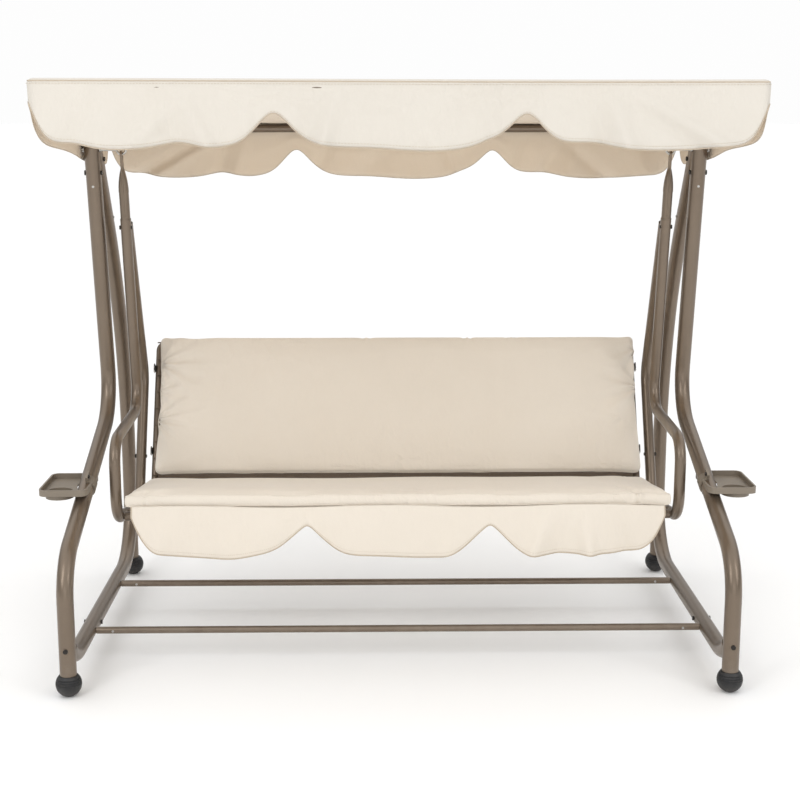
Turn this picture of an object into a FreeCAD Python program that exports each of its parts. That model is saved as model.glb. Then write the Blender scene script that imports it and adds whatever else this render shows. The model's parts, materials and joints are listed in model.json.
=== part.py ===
# Canopy swing bench: two bent-tube side frames on ball feet, a swinging seat with a
# fold-flat backrest, and a tilting fabric canopy.
# Origin on the ground midway between the four feet. +X to the sitter's left as seen from
# the front (the right-hand frame), +Y to the back, +Z up. Millimetres.
import FreeCAD, Part
import math
import os

from FreeCAD import Vector

os.makedirs("parts", exist_ok=True)

# ---------------------------------------------------------------- driving dimensions
# side frames
frame_x = 885.0            # plane of each side frame's tubes
foot_y = 525.0             # feet, front and back of the origin
base_z = 78.0              # axis of the ground tubes
frame_od = 45.0
frame_wall = 1.5
spigot_clearance = 0.2     # radial, between a spigot and the tube over it
spigot_length = 60.0
spigot_overlap = 12.0      # root of each spigot, fused inside its own tube
foot_joint_z = 144.0       # front leg sits on the foot stub here
head_joint_z = 1327.0      # legs meet the apex head here
head_rise = 143.0          # head joint to the top of the apex head
head_cap = 4.0
knee_y = 234.0             # rear-most corner of the front leg
knee_z = 638.0
knee_radius = 150.0
shin_z = 357.0             # front-most corner of the front leg
shin_radius = 145.0
head_joint_y = 113.0       # front leg axis at the head joint
rear_bow_z = 865.0         # corner of the rear leg's long bow
rear_bow_radius = 1360.0
rear_head_y = 203.0        # rear leg axis at the head joint
rear_bend_radius = 200.0
rear_joint_y = 210.0       # ground tube meets the rear leg
front_joint_y = -190.0     # ground tube meets the front foot piece
elbow_radius = 165.0
elbow_start_z = 130.0
stub_bottom_z = 58.0
rear_stub_od = 40.0
rear_stub_top_z = 236.0

# ball feet
ball_radius = 35.0
ball_flat = 1.5            # worn flat under each foot
groove_depth = 1.2
groove_width = 3.0
groove_pitch = 6.5

# crossbars
bar_od = 20.0
bar_wall = 1.5
bar_front_y = -240.0
bar_rear_y = 180.0
bar_spigot_length = 62.0
bar_gap = 0.5              # end of the bar to the ground tube
bar_button_inset = 48.0

# fixings
bolt_radius = 4.0
bolt_clearance = 0.25
head_radius = 6.5
head_height = 3.6
snug_clearance = 0.05      # bores clamped tight on a bolt
nut_height = 5.0
rivet_radius = 3.5
rivet_height = 2.0
rivet_sink = 1.0           # head let down to the tube's curved face
front_rivet_drop = 12.0    # below the head joint
rear_rivet_z = 1214.0
apex_front_bolt_rise = 28.0  # above the head joint
apex_rear_bolt_rise = 66.0
ground_bolt_inset = 20.0   # from the sleeve's joint
stub_bolt_drop = 13.0      # below the front foot joint
slot_width = 2.0
slot_depth = 1.2

# swing hook and hinge
hanger_inset = 85.0        # frame plane to the hanger's plane
hinge_offset = 18.0        # hinge axis in front of the front leg's head joint
hinge_rise = 82.0          # hinge axis above the head joint
ring_radius = 13.0
ring_wire_radius = 3.5

# hanger tubes
hanger_od = 32.0
hanger_wall = 1.5
hanger_joint_drop = 192.0  # hinge to the top of the hanger tube, along the tube
arm_corner_z = 632.0       # back corner of the arm rest
arm_back_radius = 75.0
arm_front_y = -200.0
arm_front_z = 618.0
arm_front_radius = 70.0
arm_low_radius = 78.0
hanger_lean = 9.76         # degrees from upright, foot to the back
rail_front_z = 393.0       # seat side rail axis below the arm's front
rail_rear_y = 240.0
seat_slope = 8.2           # degrees, falling to the back
rear_hanger_top_z = 1205.0
rear_hanger_top_y = 156.0
rear_hanger_corner_y = 370.0
rear_hanger_corner_z = 710.0
rear_hanger_radius = 90.0
rear_hanger_low_y = 194.0  # also the backrest's pivot
hanger_low_bolt_z = 470.0
top_bolt_drop = 26.0

# crimped hanger top
top_tube_length = 52.0     # inside the hanger tube
tab_thickness = 6.0
tab_width = 22.0
tab_hole_radius = 4.5
tab_head = 10.0            # tab above the hinge axis
crimp_start = 112.0        # below the hinge axis
crimp_end = 44.0
crimp_width = 33.0
crimp_shoulder = 0.6       # step where the crimp starts
crimp_thickness = 10.0
crease_radius = 3.0

# seat
seat_rail_od = 25.0
seat_rail_wall = 1.2
front_rail_angle = 25.0    # degrees forward of the low bend's foot
seat_rear_rail = 350.0     # down the seat from the arm's front line
wire_radius = 2.0
wire_pitch = 52.0
cross_wire_pitch = 148.0
wire_weld = 0.4
wire_end_gap = 6.0         # wire ends to the side rails
cross_wire_inset = 30.0
cushion_gap = 4.0          # cushion above the wires
seat_cushion_side_gap = 8.0
seat_cushion_front_y = -258.0
seat_cushion_length = 398.0
seat_cushion_thickness = 60.0
back_cushion_overhang = 9.0  # past the axis of the side tubes
back_cushion_length = 474.0
back_cushion_start = 62.0  # up the back from the pivot
back_cushion_thickness = 66.0
cushion_edge_radius = 22.0

# seat valance
valance_cloth = 2.0
seat_valance_inset = 26.0  # from the cushion's end
seat_valance_drop = 128.0
seat_valance_notch = 42.0
valance_stand_off = 2.5

# backrest
back_recline = 27.0        # degrees from upright
back_tube_od = 22.0
back_tube_wall = 1.2
back_side_gap = 29.0       # axis of the side tubes to the hanger
back_top = 500.0           # pivot to the top rail axis
back_bottom_rail = 84.0
strap_width = 22.0
strap_thickness = 1.6
strap_gap = 0.6            # strap to the tube
strap_gaps = (1, 6)        # which gaps between the back's wires the ties go through
disc_radius = 27.0
disc_thickness = 5.0
disc_gap = 0.6
disc_teeth = 24
disc_notch = 1.2

# canopy
canopy_tilt = 6.2          # degrees, front edge up
pivot_offset = 16.0        # tilt axis in front of the front leg's head joint
pivot_rise = 21.0          # tilt axis above the apex head
canopy_overhang = 35.0     # past the side frames' planes
canopy_front = 631.0       # forward of the pivot
canopy_rear = 455.0        # behind the pivot
roof_top = 49.0            # roof surface above the pivot
roof_cloth = 2.0
canopy_tube_od = 25.0
canopy_tube_wall = 1.2
canopy_cloth_gap = 2.5
canopy_drop = 168.0
canopy_notch = 82.0
side_drop = 150.0
side_valance_inset = 30.0
corner_size = 30.0

# tilt clamp
tongue_thickness = 8.0
tongue_radius = 16.0
cheek_thickness = 3.0
cheek_gap = 0.4
saddle_half_length = 26.0
saddle_rise = 18.7
knob_radius = 19.0
knob_length = 16.0
knob_lobes = 5
knob_lobe_radius = 5.0
knob_lobe_depth = 0.4      # share of the lobe's radius by which it stands off
knob_gap = 0.5             # knob to the cheek
knob_floor = 2.5           # closed end of the knob
knob_grip = 3.0            # bolt end to the knob's closed end
bolt_head_gap = 0.3
screw_inset = 8.0          # from the saddle's end
screw_head_radius = 4.5
screw_head_height = 2.5

# trays
tray_outside = 115.0       # past the side frame's plane
tray_inside = 3.5          # short of the tube's inner face
tray_front_y = -288.0
tray_rear_y = -88.0
tray_floor_z = 484.0
tray_thickness = 4.0
tray_rim_z = 502.0
tray_rim_wall = 5.0
tray_corner = 22.0
tray_leg_gap = 1.5
cup_radius = 36.0
cup_depth = 14.0
cup_wall = 3.0
cup_outside = 65.0         # well's axis past the side frame's plane
cup_y = -236.0
clamp_wall = 4.0
clamp_length = 34.0
clamp_y = -176.0
clamp_ear = 16.0
clamp_ear_thickness = 6.0
clamp_ear_lift = 0.4       # off the tube's face
clamp_bolt_share = 0.6     # of the ear's height
clamp_head_radius = 5.5
clamp_split = 1.0
clamp_gap = 0.5

# ---------------------------------------------------------------- places that follow
head_top_z = head_joint_z + head_rise
hinge_y = head_joint_y - hinge_offset
hinge_z = head_joint_z + hinge_rise
pivot_y = head_joint_y - pivot_offset
pivot_z = head_top_z + pivot_rise
hanger_x = frame_x - hanger_inset
hanger_inner_x = hanger_x - hanger_od / 2
seat_cushion_half = hanger_inner_x - seat_cushion_side_gap
seat_valance_half = seat_cushion_half - seat_valance_inset
back_half = hanger_inner_x - back_side_gap
back_cushion_half = back_half + back_cushion_overhang
canopy_half = frame_x + canopy_overhang
tray_outer_x = frame_x + tray_outside
tray_inner_x = frame_x - frame_od / 2 + tray_inside
cup_x = frame_x + cup_outside

# ---------------------------------------------------------------- shared helpers
X_AXIS = Vector(1, 0, 0)
Y_AXIS = Vector(0, 1, 0)
Z_AXIS = Vector(0, 0, 1)
SIDES = (("left", -1), ("right", 1))


def save(name, shape):
    """Write one named piece."""
    shape.exportStep("parts/" + name + ".step")


def group(solids):
    """Separate solids kept together under one name."""
    return Part.makeCompound(solids)


def side_point(side, x, y, z):
    return Vector(side * x, y, z)


def rod(start, end, radius):
    """Solid cylinder between two points."""
    run = end - start
    return Part.makeCylinder(radius, run.Length, start, run)


def pipe(start, end, outer_d, wall):
    """Straight tube between two points."""
    return rod(start, end, outer_d / 2).cut(rod(start, end, outer_d / 2 - wall))


def box(low, high):
    """Box from its lowest to its highest corner."""
    size = high - low
    return Part.makeBox(size.x, size.y, size.z, low)


def hexagon(start, direction, across, height):
    """Hexagonal nut or bolt head."""
    corner = across / math.sqrt(3)
    points = []
    for i in range(7):
        angle = math.radians(60 * i)
        points.append(Vector(corner * math.cos(angle), corner * math.sin(angle), 0))
    prism = Part.Face(Part.makePolygon(points)).extrude(Vector(0, 0, height))
    prism.Placement = FreeCAD.Placement(start, FreeCAD.Rotation(Z_AXIS, direction))
    return prism


def bent_path(corners):
    """Wire of straight runs joined by tangent arcs; each corner is (point, radius)."""
    edges = []
    last = corners[0][0]
    for i in range(1, len(corners) - 1):
        corner, radius = corners[i]
        back = (corners[i - 1][0] - corner).normalize()
        ahead = (corners[i + 1][0] - corner).normalize()
        half = back.getAngle(ahead) / 2
        reach = radius / math.tan(half)
        enter = corner + back * reach
        leave = corner + ahead * reach
        middle = (back + ahead).normalize()
        crest = corner + middle * (radius / math.sin(half) - radius)
        edges.append(Part.LineSegment(last, enter).toShape())
        edges.append(Part.Arc(enter, crest, leave).toShape())
        last = leave
    edges.append(Part.LineSegment(last, corners[-1][0]).toShape())
    return Part.Wire(edges)


def sweep(corners, radius):
    """Solid rod swept along a bent path."""
    path = bent_path(corners)
    start = corners[0][0]
    heading = corners[1][0] - start
    ring = Part.Wire([Part.makeCircle(radius, start, heading)])
    return path.makePipeShell([ring], True, False)


def bent_tube(corners, outer_d, wall):
    """Tube swept along a bent path."""
    return sweep(corners, outer_d / 2).cut(sweep(corners, outer_d / 2 - wall))


def spigot(joint, direction, tube_d, wall, length):
    """Hollow plug for a tube's bore, with a collar sunk in its own tube's wall."""
    outer = tube_d / 2 - wall - spigot_clearance
    tip = joint + direction * length
    root = joint - direction * spigot_overlap
    plug = rod(root, joint, tube_d / 2 - wall / 2).fuse(rod(root, tip, outer))
    return plug.cut(rod(root - direction, tip + direction, outer - wall))


def lerp_y(point_a, point_b, z):
    """Y on the straight line through two (y, z) points, at height z."""
    share = (z - point_a[1]) / (point_b[1] - point_a[1])
    return point_a[0] + share * (point_b[0] - point_a[0])


def turn_x(shape, y, z, degrees):
    """Turn a shape about an X-axis line through (y, z)."""
    shape.rotate(Vector(0, y, z), X_AXIS, degrees)
    return shape


def scalloped_panel(half, top, drop, notch, count, thickness):
    """Upright cloth panel in the XZ plane, hung from z = top, hem in round scallops."""
    step = 2 * half / count
    edges = [Part.LineSegment(Vector(-half, 0, top - notch), Vector(-half, 0, top)).toShape(),
             Part.LineSegment(Vector(-half, 0, top), Vector(half, 0, top)).toShape(),
             Part.LineSegment(Vector(half, 0, top), Vector(half, 0, top - notch)).toShape()]
    for i in range(count):
        right = half - i * step
        left = right - step
        low = Vector((left + right) / 2, 0, top - drop)
        edges.append(Part.Arc(Vector(right, 0, top - notch), low, Vector(left, 0, top - notch)).toShape())
    face = Part.Face(Part.Wire(edges))
    return face.extrude(Vector(0, thickness, 0))


# ---------------------------------------------------------------- side-frame lines (y, z)
leg_top = (head_joint_y, head_joint_z)
knee = (knee_y, knee_z)
shin = (-foot_y, shin_z)
rear_top = (rear_head_y, head_joint_z)
rear_bow = (foot_y, rear_bow_z)


def frame_point(side, yz):
    return side_point(side, frame_x, yz[0], yz[1])


def up_line(lower, upper, z):
    """Point on a leg's top line carried on up to height z."""
    return (lerp_y(lower, upper, z), z)


def unit(a, b):
    return (b - a).normalize()


# ---------------------------------------------------------------- side frames
def front_leg(side):
    corners = [(frame_point(side, leg_top), 0),
               (frame_point(side, knee), knee_radius),
               (frame_point(side, shin), shin_radius),
               (frame_point(side, (-foot_y, foot_joint_z)), 0)]
    return bent_tube(corners, frame_od, frame_wall)


def rear_leg(side):
    joint = frame_point(side, (rear_joint_y, base_z))
    corners = [(frame_point(side, rear_top), 0),
               (frame_point(side, rear_bow), rear_bow_radius),
               (frame_point(side, (foot_y, base_z)), rear_bend_radius),
               (joint, 0)]
    stub_low = frame_point(side, (foot_y, stub_bottom_z))
    stub_high = frame_point(side, (foot_y, rear_stub_top_z))
    stub_cut = frame_point(side, (foot_y, base_z + frame_od))
    plug = spigot(joint, Vector(0, -1, 0), frame_od, frame_wall, spigot_length)
    shell = sweep(corners, frame_od / 2).fuse(rod(stub_low, stub_high, rear_stub_od / 2))
    shell = shell.cut(sweep(corners, frame_od / 2 - frame_wall))
    shell = shell.cut(rod(stub_low, stub_cut, rear_stub_od / 2 - frame_wall))
    return shell.fuse(plug)


def front_foot_piece(side):
    low = frame_point(side, (-foot_y, stub_bottom_z))
    top = frame_point(side, (-foot_y, foot_joint_z))
    joint = frame_point(side, (front_joint_y, base_z))
    rise = elbow_start_z - base_z
    start = frame_point(side, (-foot_y + frame_od / 4, elbow_start_z))
    corners = [(start, 0),
               (frame_point(side, (-foot_y + frame_od / 4 + rise, base_z)), elbow_radius),
               (joint, 0)]
    shell = rod(low, top, frame_od / 2).fuse(sweep(corners, frame_od / 2))
    shell = shell.cut(sweep(corners, frame_od / 2 - frame_wall))
    up_plug = spigot(top, Z_AXIS, frame_od, frame_wall, spigot_length)
    back_plug = spigot(joint, Y_AXIS, frame_od, frame_wall, spigot_length)
    shell = shell.cut(rod(low, top, frame_od / 2 - frame_wall))
    return shell.fuse([up_plug, back_plug, bar_spigot(side, bar_front_y)])


def bar_spigot(side, y):
    """Welded peg that a crossbar slides over."""
    radius = bar_od / 2 - bar_wall - spigot_clearance
    root = side_point(side, frame_x - frame_od / 2 + frame_wall / 2, y, base_z)
    tip = side_point(side, frame_x - frame_od / 2 - bar_spigot_length, y, base_z)
    return rod(root, tip, radius)


def ground_tube(side):
    start = frame_point(side, (front_joint_y, base_z))
    end = frame_point(side, (rear_joint_y, base_z))
    return pipe(start, end, frame_od, frame_wall).fuse(bar_spigot(side, bar_rear_y))


def head_cut():
    """Everything above the flat top of the apex heads."""
    reach = 2 * frame_x
    return box(Vector(-reach, -reach, head_top_z), Vector(reach, reach, head_top_z + reach))


def apex_head(side):
    """Welded head: two leg sockets run together under a cap, with the canopy tongue."""
    over = head_top_z + frame_od
    front_low = frame_point(side, leg_top)
    front_high = frame_point(side, up_line(knee, leg_top, over))
    rear_low = frame_point(side, rear_top)
    rear_high = frame_point(side, up_line(rear_bow, rear_top, over))
    outer = rod(front_low, front_high, frame_od / 2).fuse(rod(rear_low, rear_high, frame_od / 2))
    bore = frame_od / 2 - frame_wall
    hollow = rod(front_low, front_high, bore).fuse(rod(rear_low, rear_high, bore))
    lid = box(Vector(-2 * frame_x, -frame_x, head_top_z - head_cap), Vector(2 * frame_x, frame_x, over * 2))
    shell = outer.cut(hollow.cut(lid)).cut(head_cut())
    front_plug = spigot(front_low, unit(front_high, front_low), frame_od, frame_wall, spigot_length)
    rear_plug = spigot(rear_low, unit(rear_high, rear_low), frame_od, frame_wall, spigot_length)
    shell = shell.fuse([front_plug, rear_plug])
    half = tongue_thickness / 2
    tongue = box(Vector(side * frame_x - half, pivot_y - tongue_radius, head_top_z - head_cap),
                 Vector(side * frame_x + half, pivot_y + tongue_radius, pivot_z))
    tongue = tongue.fuse(rod(Vector(side * frame_x - half, pivot_y, pivot_z),
                             Vector(side * frame_x + half, pivot_y, pivot_z), tongue_radius))
    shell = shell.fuse(tongue)
    across = frame_od
    shell = shell.cut(rod(Vector(side * frame_x - across, pivot_y, pivot_z),
                          Vector(side * frame_x + across, pivot_y, pivot_z), bolt_radius + bolt_clearance))
    hole = rod(Vector(side * frame_x - across, hinge_y, shank_z),
               Vector(side * frame_x + across, hinge_y, shank_z), bolt_radius + bolt_clearance)
    return shell.cut(hole)


shank_z = hinge_z + ring_radius


def swing_hook(side):
    """Eye bolt: ring across the hinge line, shank out through the apex head."""
    ring_centre = side_point(side, hanger_x, hinge_y, shank_z)
    ring = Part.makeTorus(ring_radius, ring_wire_radius, ring_centre, Y_AXIS)
    start = side_point(side, hanger_x + ring_radius, hinge_y, shank_z)
    end = side_point(side, frame_x + frame_od / 2 + nut_height + 1.0, hinge_y, shank_z)
    return ring.fuse(rod(start, end, bolt_radius))


def hook_nuts(side):
    out = Vector(side, 0, 0)
    outer = frame_x + frame_od / 2
    inner = frame_x - frame_od / 2 - nut_height
    nuts = []
    for x in (outer, inner):
        start = side_point(side, x, hinge_y, shank_z)
        nut = hexagon(start, out, 2 * head_radius, nut_height)
        nuts.append(nut.cut(rod(start - out, start + out * (nut_height + 1), bolt_radius + 0.02)))
    return nuts


def ball_foot(side, end):
    """Solid rubber ball with ribbed crown and a plug for the foot tube."""
    centre = side_point(side, frame_x, end * foot_y, ball_radius - ball_flat)
    ball = Part.makeSphere(ball_radius, centre)
    under = box(Vector(-2 * frame_x, -2 * foot_y, -ball_radius), Vector(2 * frame_x, 2 * foot_y, 0))
    ball = ball.cut(under)
    over = box(centre + Vector(-ball_radius, -ball_radius, stub_bottom_z - centre.z),
               centre + Vector(ball_radius, ball_radius, ball_radius))
    ball = ball.cut(over)
    bore = frame_od / 2 - frame_wall if end < 0 else rear_stub_od / 2 - frame_wall
    low = Vector(centre.x, centre.y, stub_bottom_z - spigot_overlap)
    high = Vector(centre.x, centre.y, stub_bottom_z + spigot_overlap)
    ball = ball.fuse(rod(low, high, bore - spigot_clearance))
    for i in range(3):
        z = centre.z + (i + 0.5) * groove_pitch - groove_width / 2
        rim = math.sqrt(ball_radius ** 2 - (z + groove_width / 2 - centre.z) ** 2)
        band = Part.makeCylinder(ball_radius + 1, groove_width, Vector(centre.x, centre.y, z))
        core = Part.makeCylinder(rim - groove_depth, groove_width, Vector(centre.x, centre.y, z))
        ball = ball.cut(band.cut(core))
    return ball


def crossbar(y):
    reach = frame_x - frame_od / 2 - bar_gap
    return pipe(Vector(-reach, y, base_z), Vector(reach, y, base_z), bar_od, bar_wall)


def button(point, direction):
    """Rivet head or snap button standing on a tube."""
    return rod(point, point + direction * rivet_height, rivet_radius)


def crossbar_buttons():
    buttons = []
    x = frame_x - frame_od / 2 - bar_button_inset
    for y in (bar_front_y, bar_rear_y):
        for side_name, side in SIDES:
            buttons.append(button(Vector(side * x, y - bar_od / 2, base_z), Vector(0, -1, 0)))
    return buttons


def leg_rivets():
    """Rivets at the leg joints, standing on the tubes' front faces."""
    rivets = []
    for side_name, side in SIDES:
        z = head_joint_z - front_rivet_drop
        leg_low = frame_point(side, up_line(knee, leg_top, z - frame_od))
        leg = rod(leg_low, frame_point(side, leg_top), frame_od / 2)
        y = lerp_y(knee, leg_top, z) - frame_od / 2
        rivets.append(button(frame_point(side, (y + rivet_sink, z)), -Y_AXIS).cut(leg))
        y = lerp_y(rear_bow, rear_top, rear_rivet_z)
        rivets.append(button(side_point(side, frame_x - frame_od / 2, y, rear_rivet_z), Vector(-side, 0, 0)))
    return rivets


def cross_bolt(side, y, z, tube_d):
    """Bolt along X through a side-frame tube, head inside and nut outside."""
    out = Vector(side, 0, 0)
    inner = side_point(side, frame_x - tube_d / 2, y, z)
    outer = side_point(side, frame_x + tube_d / 2, y, z)
    head = rod(inner - out * head_height, inner, head_radius)
    nut = hexagon(outer, out, 2 * head_radius, head_height)
    return [head, nut]


def apex_bolts():
    bolts = []
    front_z = head_joint_z + apex_front_bolt_rise
    rear_z = head_joint_z + apex_rear_bolt_rise
    for side_name, side in SIDES:
        bolts += cross_bolt(side, lerp_y(knee, leg_top, front_z), front_z, frame_od)
        bolts += cross_bolt(side, lerp_y(rear_bow, rear_top, rear_z), rear_z, frame_od)
    return bolts


def ground_bolts():
    """Sleeve bolts of the ground tubes, and the slotted bolts of the front stubs."""
    bolts = []
    for side_name, side in SIDES:
        bolts += cross_bolt(side, front_joint_y + ground_bolt_inset, base_z, frame_od)
        front = Vector(side * frame_x, -foot_y - frame_od / 2, foot_joint_z - stub_bolt_drop)
        head = rod(front + Y_AXIS * rivet_sink, front - Y_AXIS * head_height, head_radius)
        slot = box(front + Vector(-slot_width / 2, -head_height - 1, -head_radius - 1),
                   front + Vector(slot_width / 2, slot_depth - head_height, head_radius + 1))
        stub = rod(Vector(side * frame_x, -foot_y, stub_bottom_z),
                   Vector(side * frame_x, -foot_y, foot_joint_z), frame_od / 2)
        bolts.append(head.cut(slot).cut(stub))
    return bolts


# ---------------------------------------------------------------- hanging side frames
slope = math.tan(math.radians(seat_slope))
lean = math.tan(math.radians(hanger_lean))


def hanger_line_y(z):
    return hinge_y + (hinge_z - z) * lean


def rail_z(y):
    """Height of the seat side rail's axis."""
    return rail_front_z - (y - arm_front_y) * slope


def hanger_point(side, y, z):
    return side_point(side, hanger_x, y, z)


hanger_top_z = hinge_z - hanger_joint_drop * math.cos(math.radians(hanger_lean))


def front_hanger_corners(side):
    return [(hanger_point(side, hanger_line_y(hanger_top_z), hanger_top_z), 0),
            (hanger_point(side, hanger_line_y(arm_corner_z), arm_corner_z), arm_back_radius),
            (hanger_point(side, arm_front_y, arm_front_z), arm_front_radius),
            (hanger_point(side, arm_front_y, rail_front_z), arm_low_radius),
            (hanger_point(side, rail_rear_y, rail_z(rail_rear_y)), 0)]


def back_pivot_hole(side):
    """Hole through the side rail and the rear hanger's foot for the back's pivot bolt."""
    y = rear_hanger_low_y
    return rod(hanger_point(side, y, rail_z(y)) - X_AXIS * hanger_od,
               hanger_point(side, y, rail_z(y)) + X_AXIS * hanger_od, bolt_radius + bolt_clearance)


def hanger_front(side):
    return bent_tube(front_hanger_corners(side), hanger_od, hanger_wall).cut(back_pivot_hole(side))


def hanger_rear(side):
    low_z = rail_z(rear_hanger_low_y)
    corners = [(hanger_point(side, rear_hanger_top_y, rear_hanger_top_z), 0),
               (hanger_point(side, rear_hanger_corner_y, rear_hanger_corner_z), rear_hanger_radius),
               (hanger_point(side, rear_hanger_low_y, low_z), 0)]
    tube = bent_tube(corners, hanger_od, hanger_wall)
    tube = tube.cut(sweep(front_hanger_corners(side), hanger_od / 2)).cut(back_pivot_hole(side))
    return max(tube.Solids, key=lambda solid: solid.Volume)


def oval_wire(half_x, half_y, z):
    """Closed smooth oval in a level plane, for the crimped tube end."""
    points = []
    count = 16
    for i in range(count):
        angle = 2 * math.pi * i / count
        points.append(Vector(half_x * math.cos(angle), half_y * math.sin(angle), z))
    curve = Part.BSplineCurve()
    curve.interpolate(Points=points, PeriodicFlag=True)
    return Part.Wire([curve.toShape()])


def hanger_top(side):
    """Crimped tube end: round plug, bullet-shaped crimp, flat tab with the hinge hole."""
    plug_radius = hanger_od / 2 - hanger_wall - spigot_clearance
    low = -hanger_joint_drop - top_tube_length
    plug = Part.makeCylinder(plug_radius, -crimp_start - low, Vector(0, 0, low))
    crimp_radius = plug_radius + crimp_shoulder
    sections = []
    steps = 6
    for i in range(steps + 1):
        share = i / steps
        ease = share * share * (3 - 2 * share)
        z = -crimp_start + share * (crimp_start - crimp_end)
        half_x = crimp_radius + (crimp_thickness / 2 - crimp_radius) * share * share
        half_y = crimp_radius + (crimp_width / 2 - crimp_radius) * ease
        sections.append(oval_wire(half_x, half_y, z))
    crimp = Part.makeLoft(sections, True, False)
    half = tab_thickness / 2
    tab = box(Vector(-half, -tab_width / 2, -crimp_end - spigot_overlap), Vector(half, tab_width / 2, 0))
    tab = tab.fuse(rod(Vector(-half, 0, 0), Vector(half, 0, 0), tab_width / 2))
    tab = tab.common(box(Vector(-half, -tab_width, -hanger_joint_drop), Vector(half, tab_width, tab_head)))
    shape = plug.fuse([crimp, tab])
    shape = shape.cut(rod(Vector(-half - 1, 0, 0), Vector(half + 1, 0, 0), tab_hole_radius))
    for front in (-1, 1):
        shape = shape.cut(rod(Vector(0, front * (plug_radius + crease_radius / 2), -hanger_joint_drop + 8),
                              Vector(0, front * (crimp_width / 2), -crimp_end - 1), crease_radius))
    shape.translate(hanger_point(side, hinge_y, hinge_z))
    return turn_x(shape, hinge_y, hinge_z, hanger_lean)


def hanger_bolt(side, y, z):
    out = Vector(side, 0, 0)
    inner = side_point(side, hanger_x - hanger_od / 2, y, z)
    outer = side_point(side, hanger_x + hanger_od / 2, y, z)
    return [rod(inner - out * rivet_height, inner, head_radius - 1.5),
            hexagon(outer, out, 2 * head_radius - 2, head_height)]


def rear_hanger_y(z):
    """Y of the rear hanger's lower run."""
    low = (rear_hanger_low_y, rail_z(rear_hanger_low_y))
    return lerp_y(low, (rear_hanger_corner_y, rear_hanger_corner_z), z)


def hanger_bolts():
    bolts = []
    for side_name, side in SIDES:
        bolts += hanger_bolt(side, rear_hanger_y(hanger_low_bolt_z), hanger_low_bolt_z)
        top_z = hanger_top_z - top_bolt_drop
        bolts += hanger_bolt(side, hanger_line_y(top_z), top_z)
    return bolts


# ---------------------------------------------------------------- seat
def low_bend_point(degrees):
    """Point of the side rail's low front bend, this far forward of its foot."""
    centre_y = arm_front_y + arm_low_radius
    centre_z = rail_z(centre_y) + arm_low_radius / math.cos(math.radians(seat_slope))
    angle = math.radians(degrees)
    return (centre_y - arm_low_radius * math.sin(angle), centre_z - arm_low_radius * math.cos(angle))


def seat_plane_turn(shape):
    """Lay a level shape drawn about the side rail's front corner onto the seat slope."""
    return turn_x(shape, arm_front_y, rail_front_z, -seat_slope)


def seat_map(x, d, level):
    """Point at distance d down the seat from the front corner, level above the rail axis."""
    angle = math.radians(seat_slope)
    y = arm_front_y + d * math.cos(angle) + level * math.sin(angle)
    z = rail_front_z - d * math.sin(angle) + level * math.cos(angle)
    return Vector(x, y, z)


def seat_coords(y, z):
    """Distance down the seat and height above the rail axis of a (y, z) point."""
    angle = math.radians(seat_slope)
    dy = y - arm_front_y
    dz = z - rail_front_z
    return (dy * math.cos(angle) - dz * math.sin(angle), dy * math.sin(angle) + dz * math.cos(angle))


inner_reach = hanger_x - hanger_od / 2
front_rail = low_bend_point(front_rail_angle)
front_rail_place = seat_coords(*front_rail)
rear_rail_point = seat_map(0, seat_rear_rail, front_rail_place[1])
rear_rail = (rear_rail_point.y, rear_rail_point.z)


def seat_rail(yz):
    left = Vector(-inner_reach, yz[0], yz[1])
    right = Vector(inner_reach, yz[0], yz[1])
    return pipe(left, right, seat_rail_od, seat_rail_wall)


def even_pitch(first, last):
    """Pitch that spaces the long wires evenly between two lines."""
    return (last - first) / int((last - first) // wire_pitch)


def wire_grid(half, first, last, level, along):
    """Welded wires: long ones at a pitch across the panel, short ones under them.

    The panel is drawn in a plane: `along` maps (x, distance, level) to a point."""
    wires = []
    pitch = even_pitch(first, last)
    for i in range(round((last - first) / pitch) + 1):
        d = first + i * pitch
        wires.append(rod(along(-half, d, level), along(half, d, level), wire_radius))
    low = level - 2 * wire_radius + wire_weld
    cross = int(2 * half // cross_wire_pitch)
    step = 2 * (half - cross_wire_inset) / cross
    for i in range(cross + 1):
        x = -half + cross_wire_inset + i * step
        wires.append(rod(along(x, first - wire_radius, low), along(x, last + wire_radius, low), wire_radius))
    return wires[0].multiFuse(wires[1:])


seat_wire_level = front_rail_place[1] + seat_rail_od / 2 + 3 * wire_radius - wire_weld
seat_cushion_bottom = seat_wire_level + wire_radius + cushion_gap


def seat_mesh():
    half = inner_reach - wire_end_gap
    return wire_grid(half, front_rail_place[0], seat_rear_rail, seat_wire_level, seat_map)


def rounded_box(low, high, radius):
    block = box(low, high)
    return block.makeFillet(radius, block.Edges)


def seat_cushion():
    first = seat_coords(seat_cushion_front_y, rail_z(seat_cushion_front_y))[0]
    low = Vector(-seat_cushion_half, arm_front_y + first, rail_front_z + seat_cushion_bottom)
    high = Vector(seat_cushion_half, arm_front_y + first + seat_cushion_length,
                  rail_front_z + seat_cushion_bottom + seat_cushion_thickness)
    return seat_plane_turn(rounded_box(low, high, cushion_edge_radius))


def seat_valance():
    """Scalloped flap hung from the cushion's lower front edge."""
    corner_d = seat_coords(seat_cushion_front_y, rail_z(seat_cushion_front_y))[0]
    edge = seat_map(0, corner_d, seat_cushion_bottom + valance_cloth)
    panel = scalloped_panel(seat_valance_half, 0, seat_valance_drop, seat_valance_notch, 3, valance_cloth)
    panel.translate(Vector(0, edge.y - valance_stand_off, edge.z))
    return panel


# ---------------------------------------------------------------- backrest
back_pivot_y = rear_hanger_low_y
back_pivot_z = rail_z(back_pivot_y)
recline = math.radians(back_recline)


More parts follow.
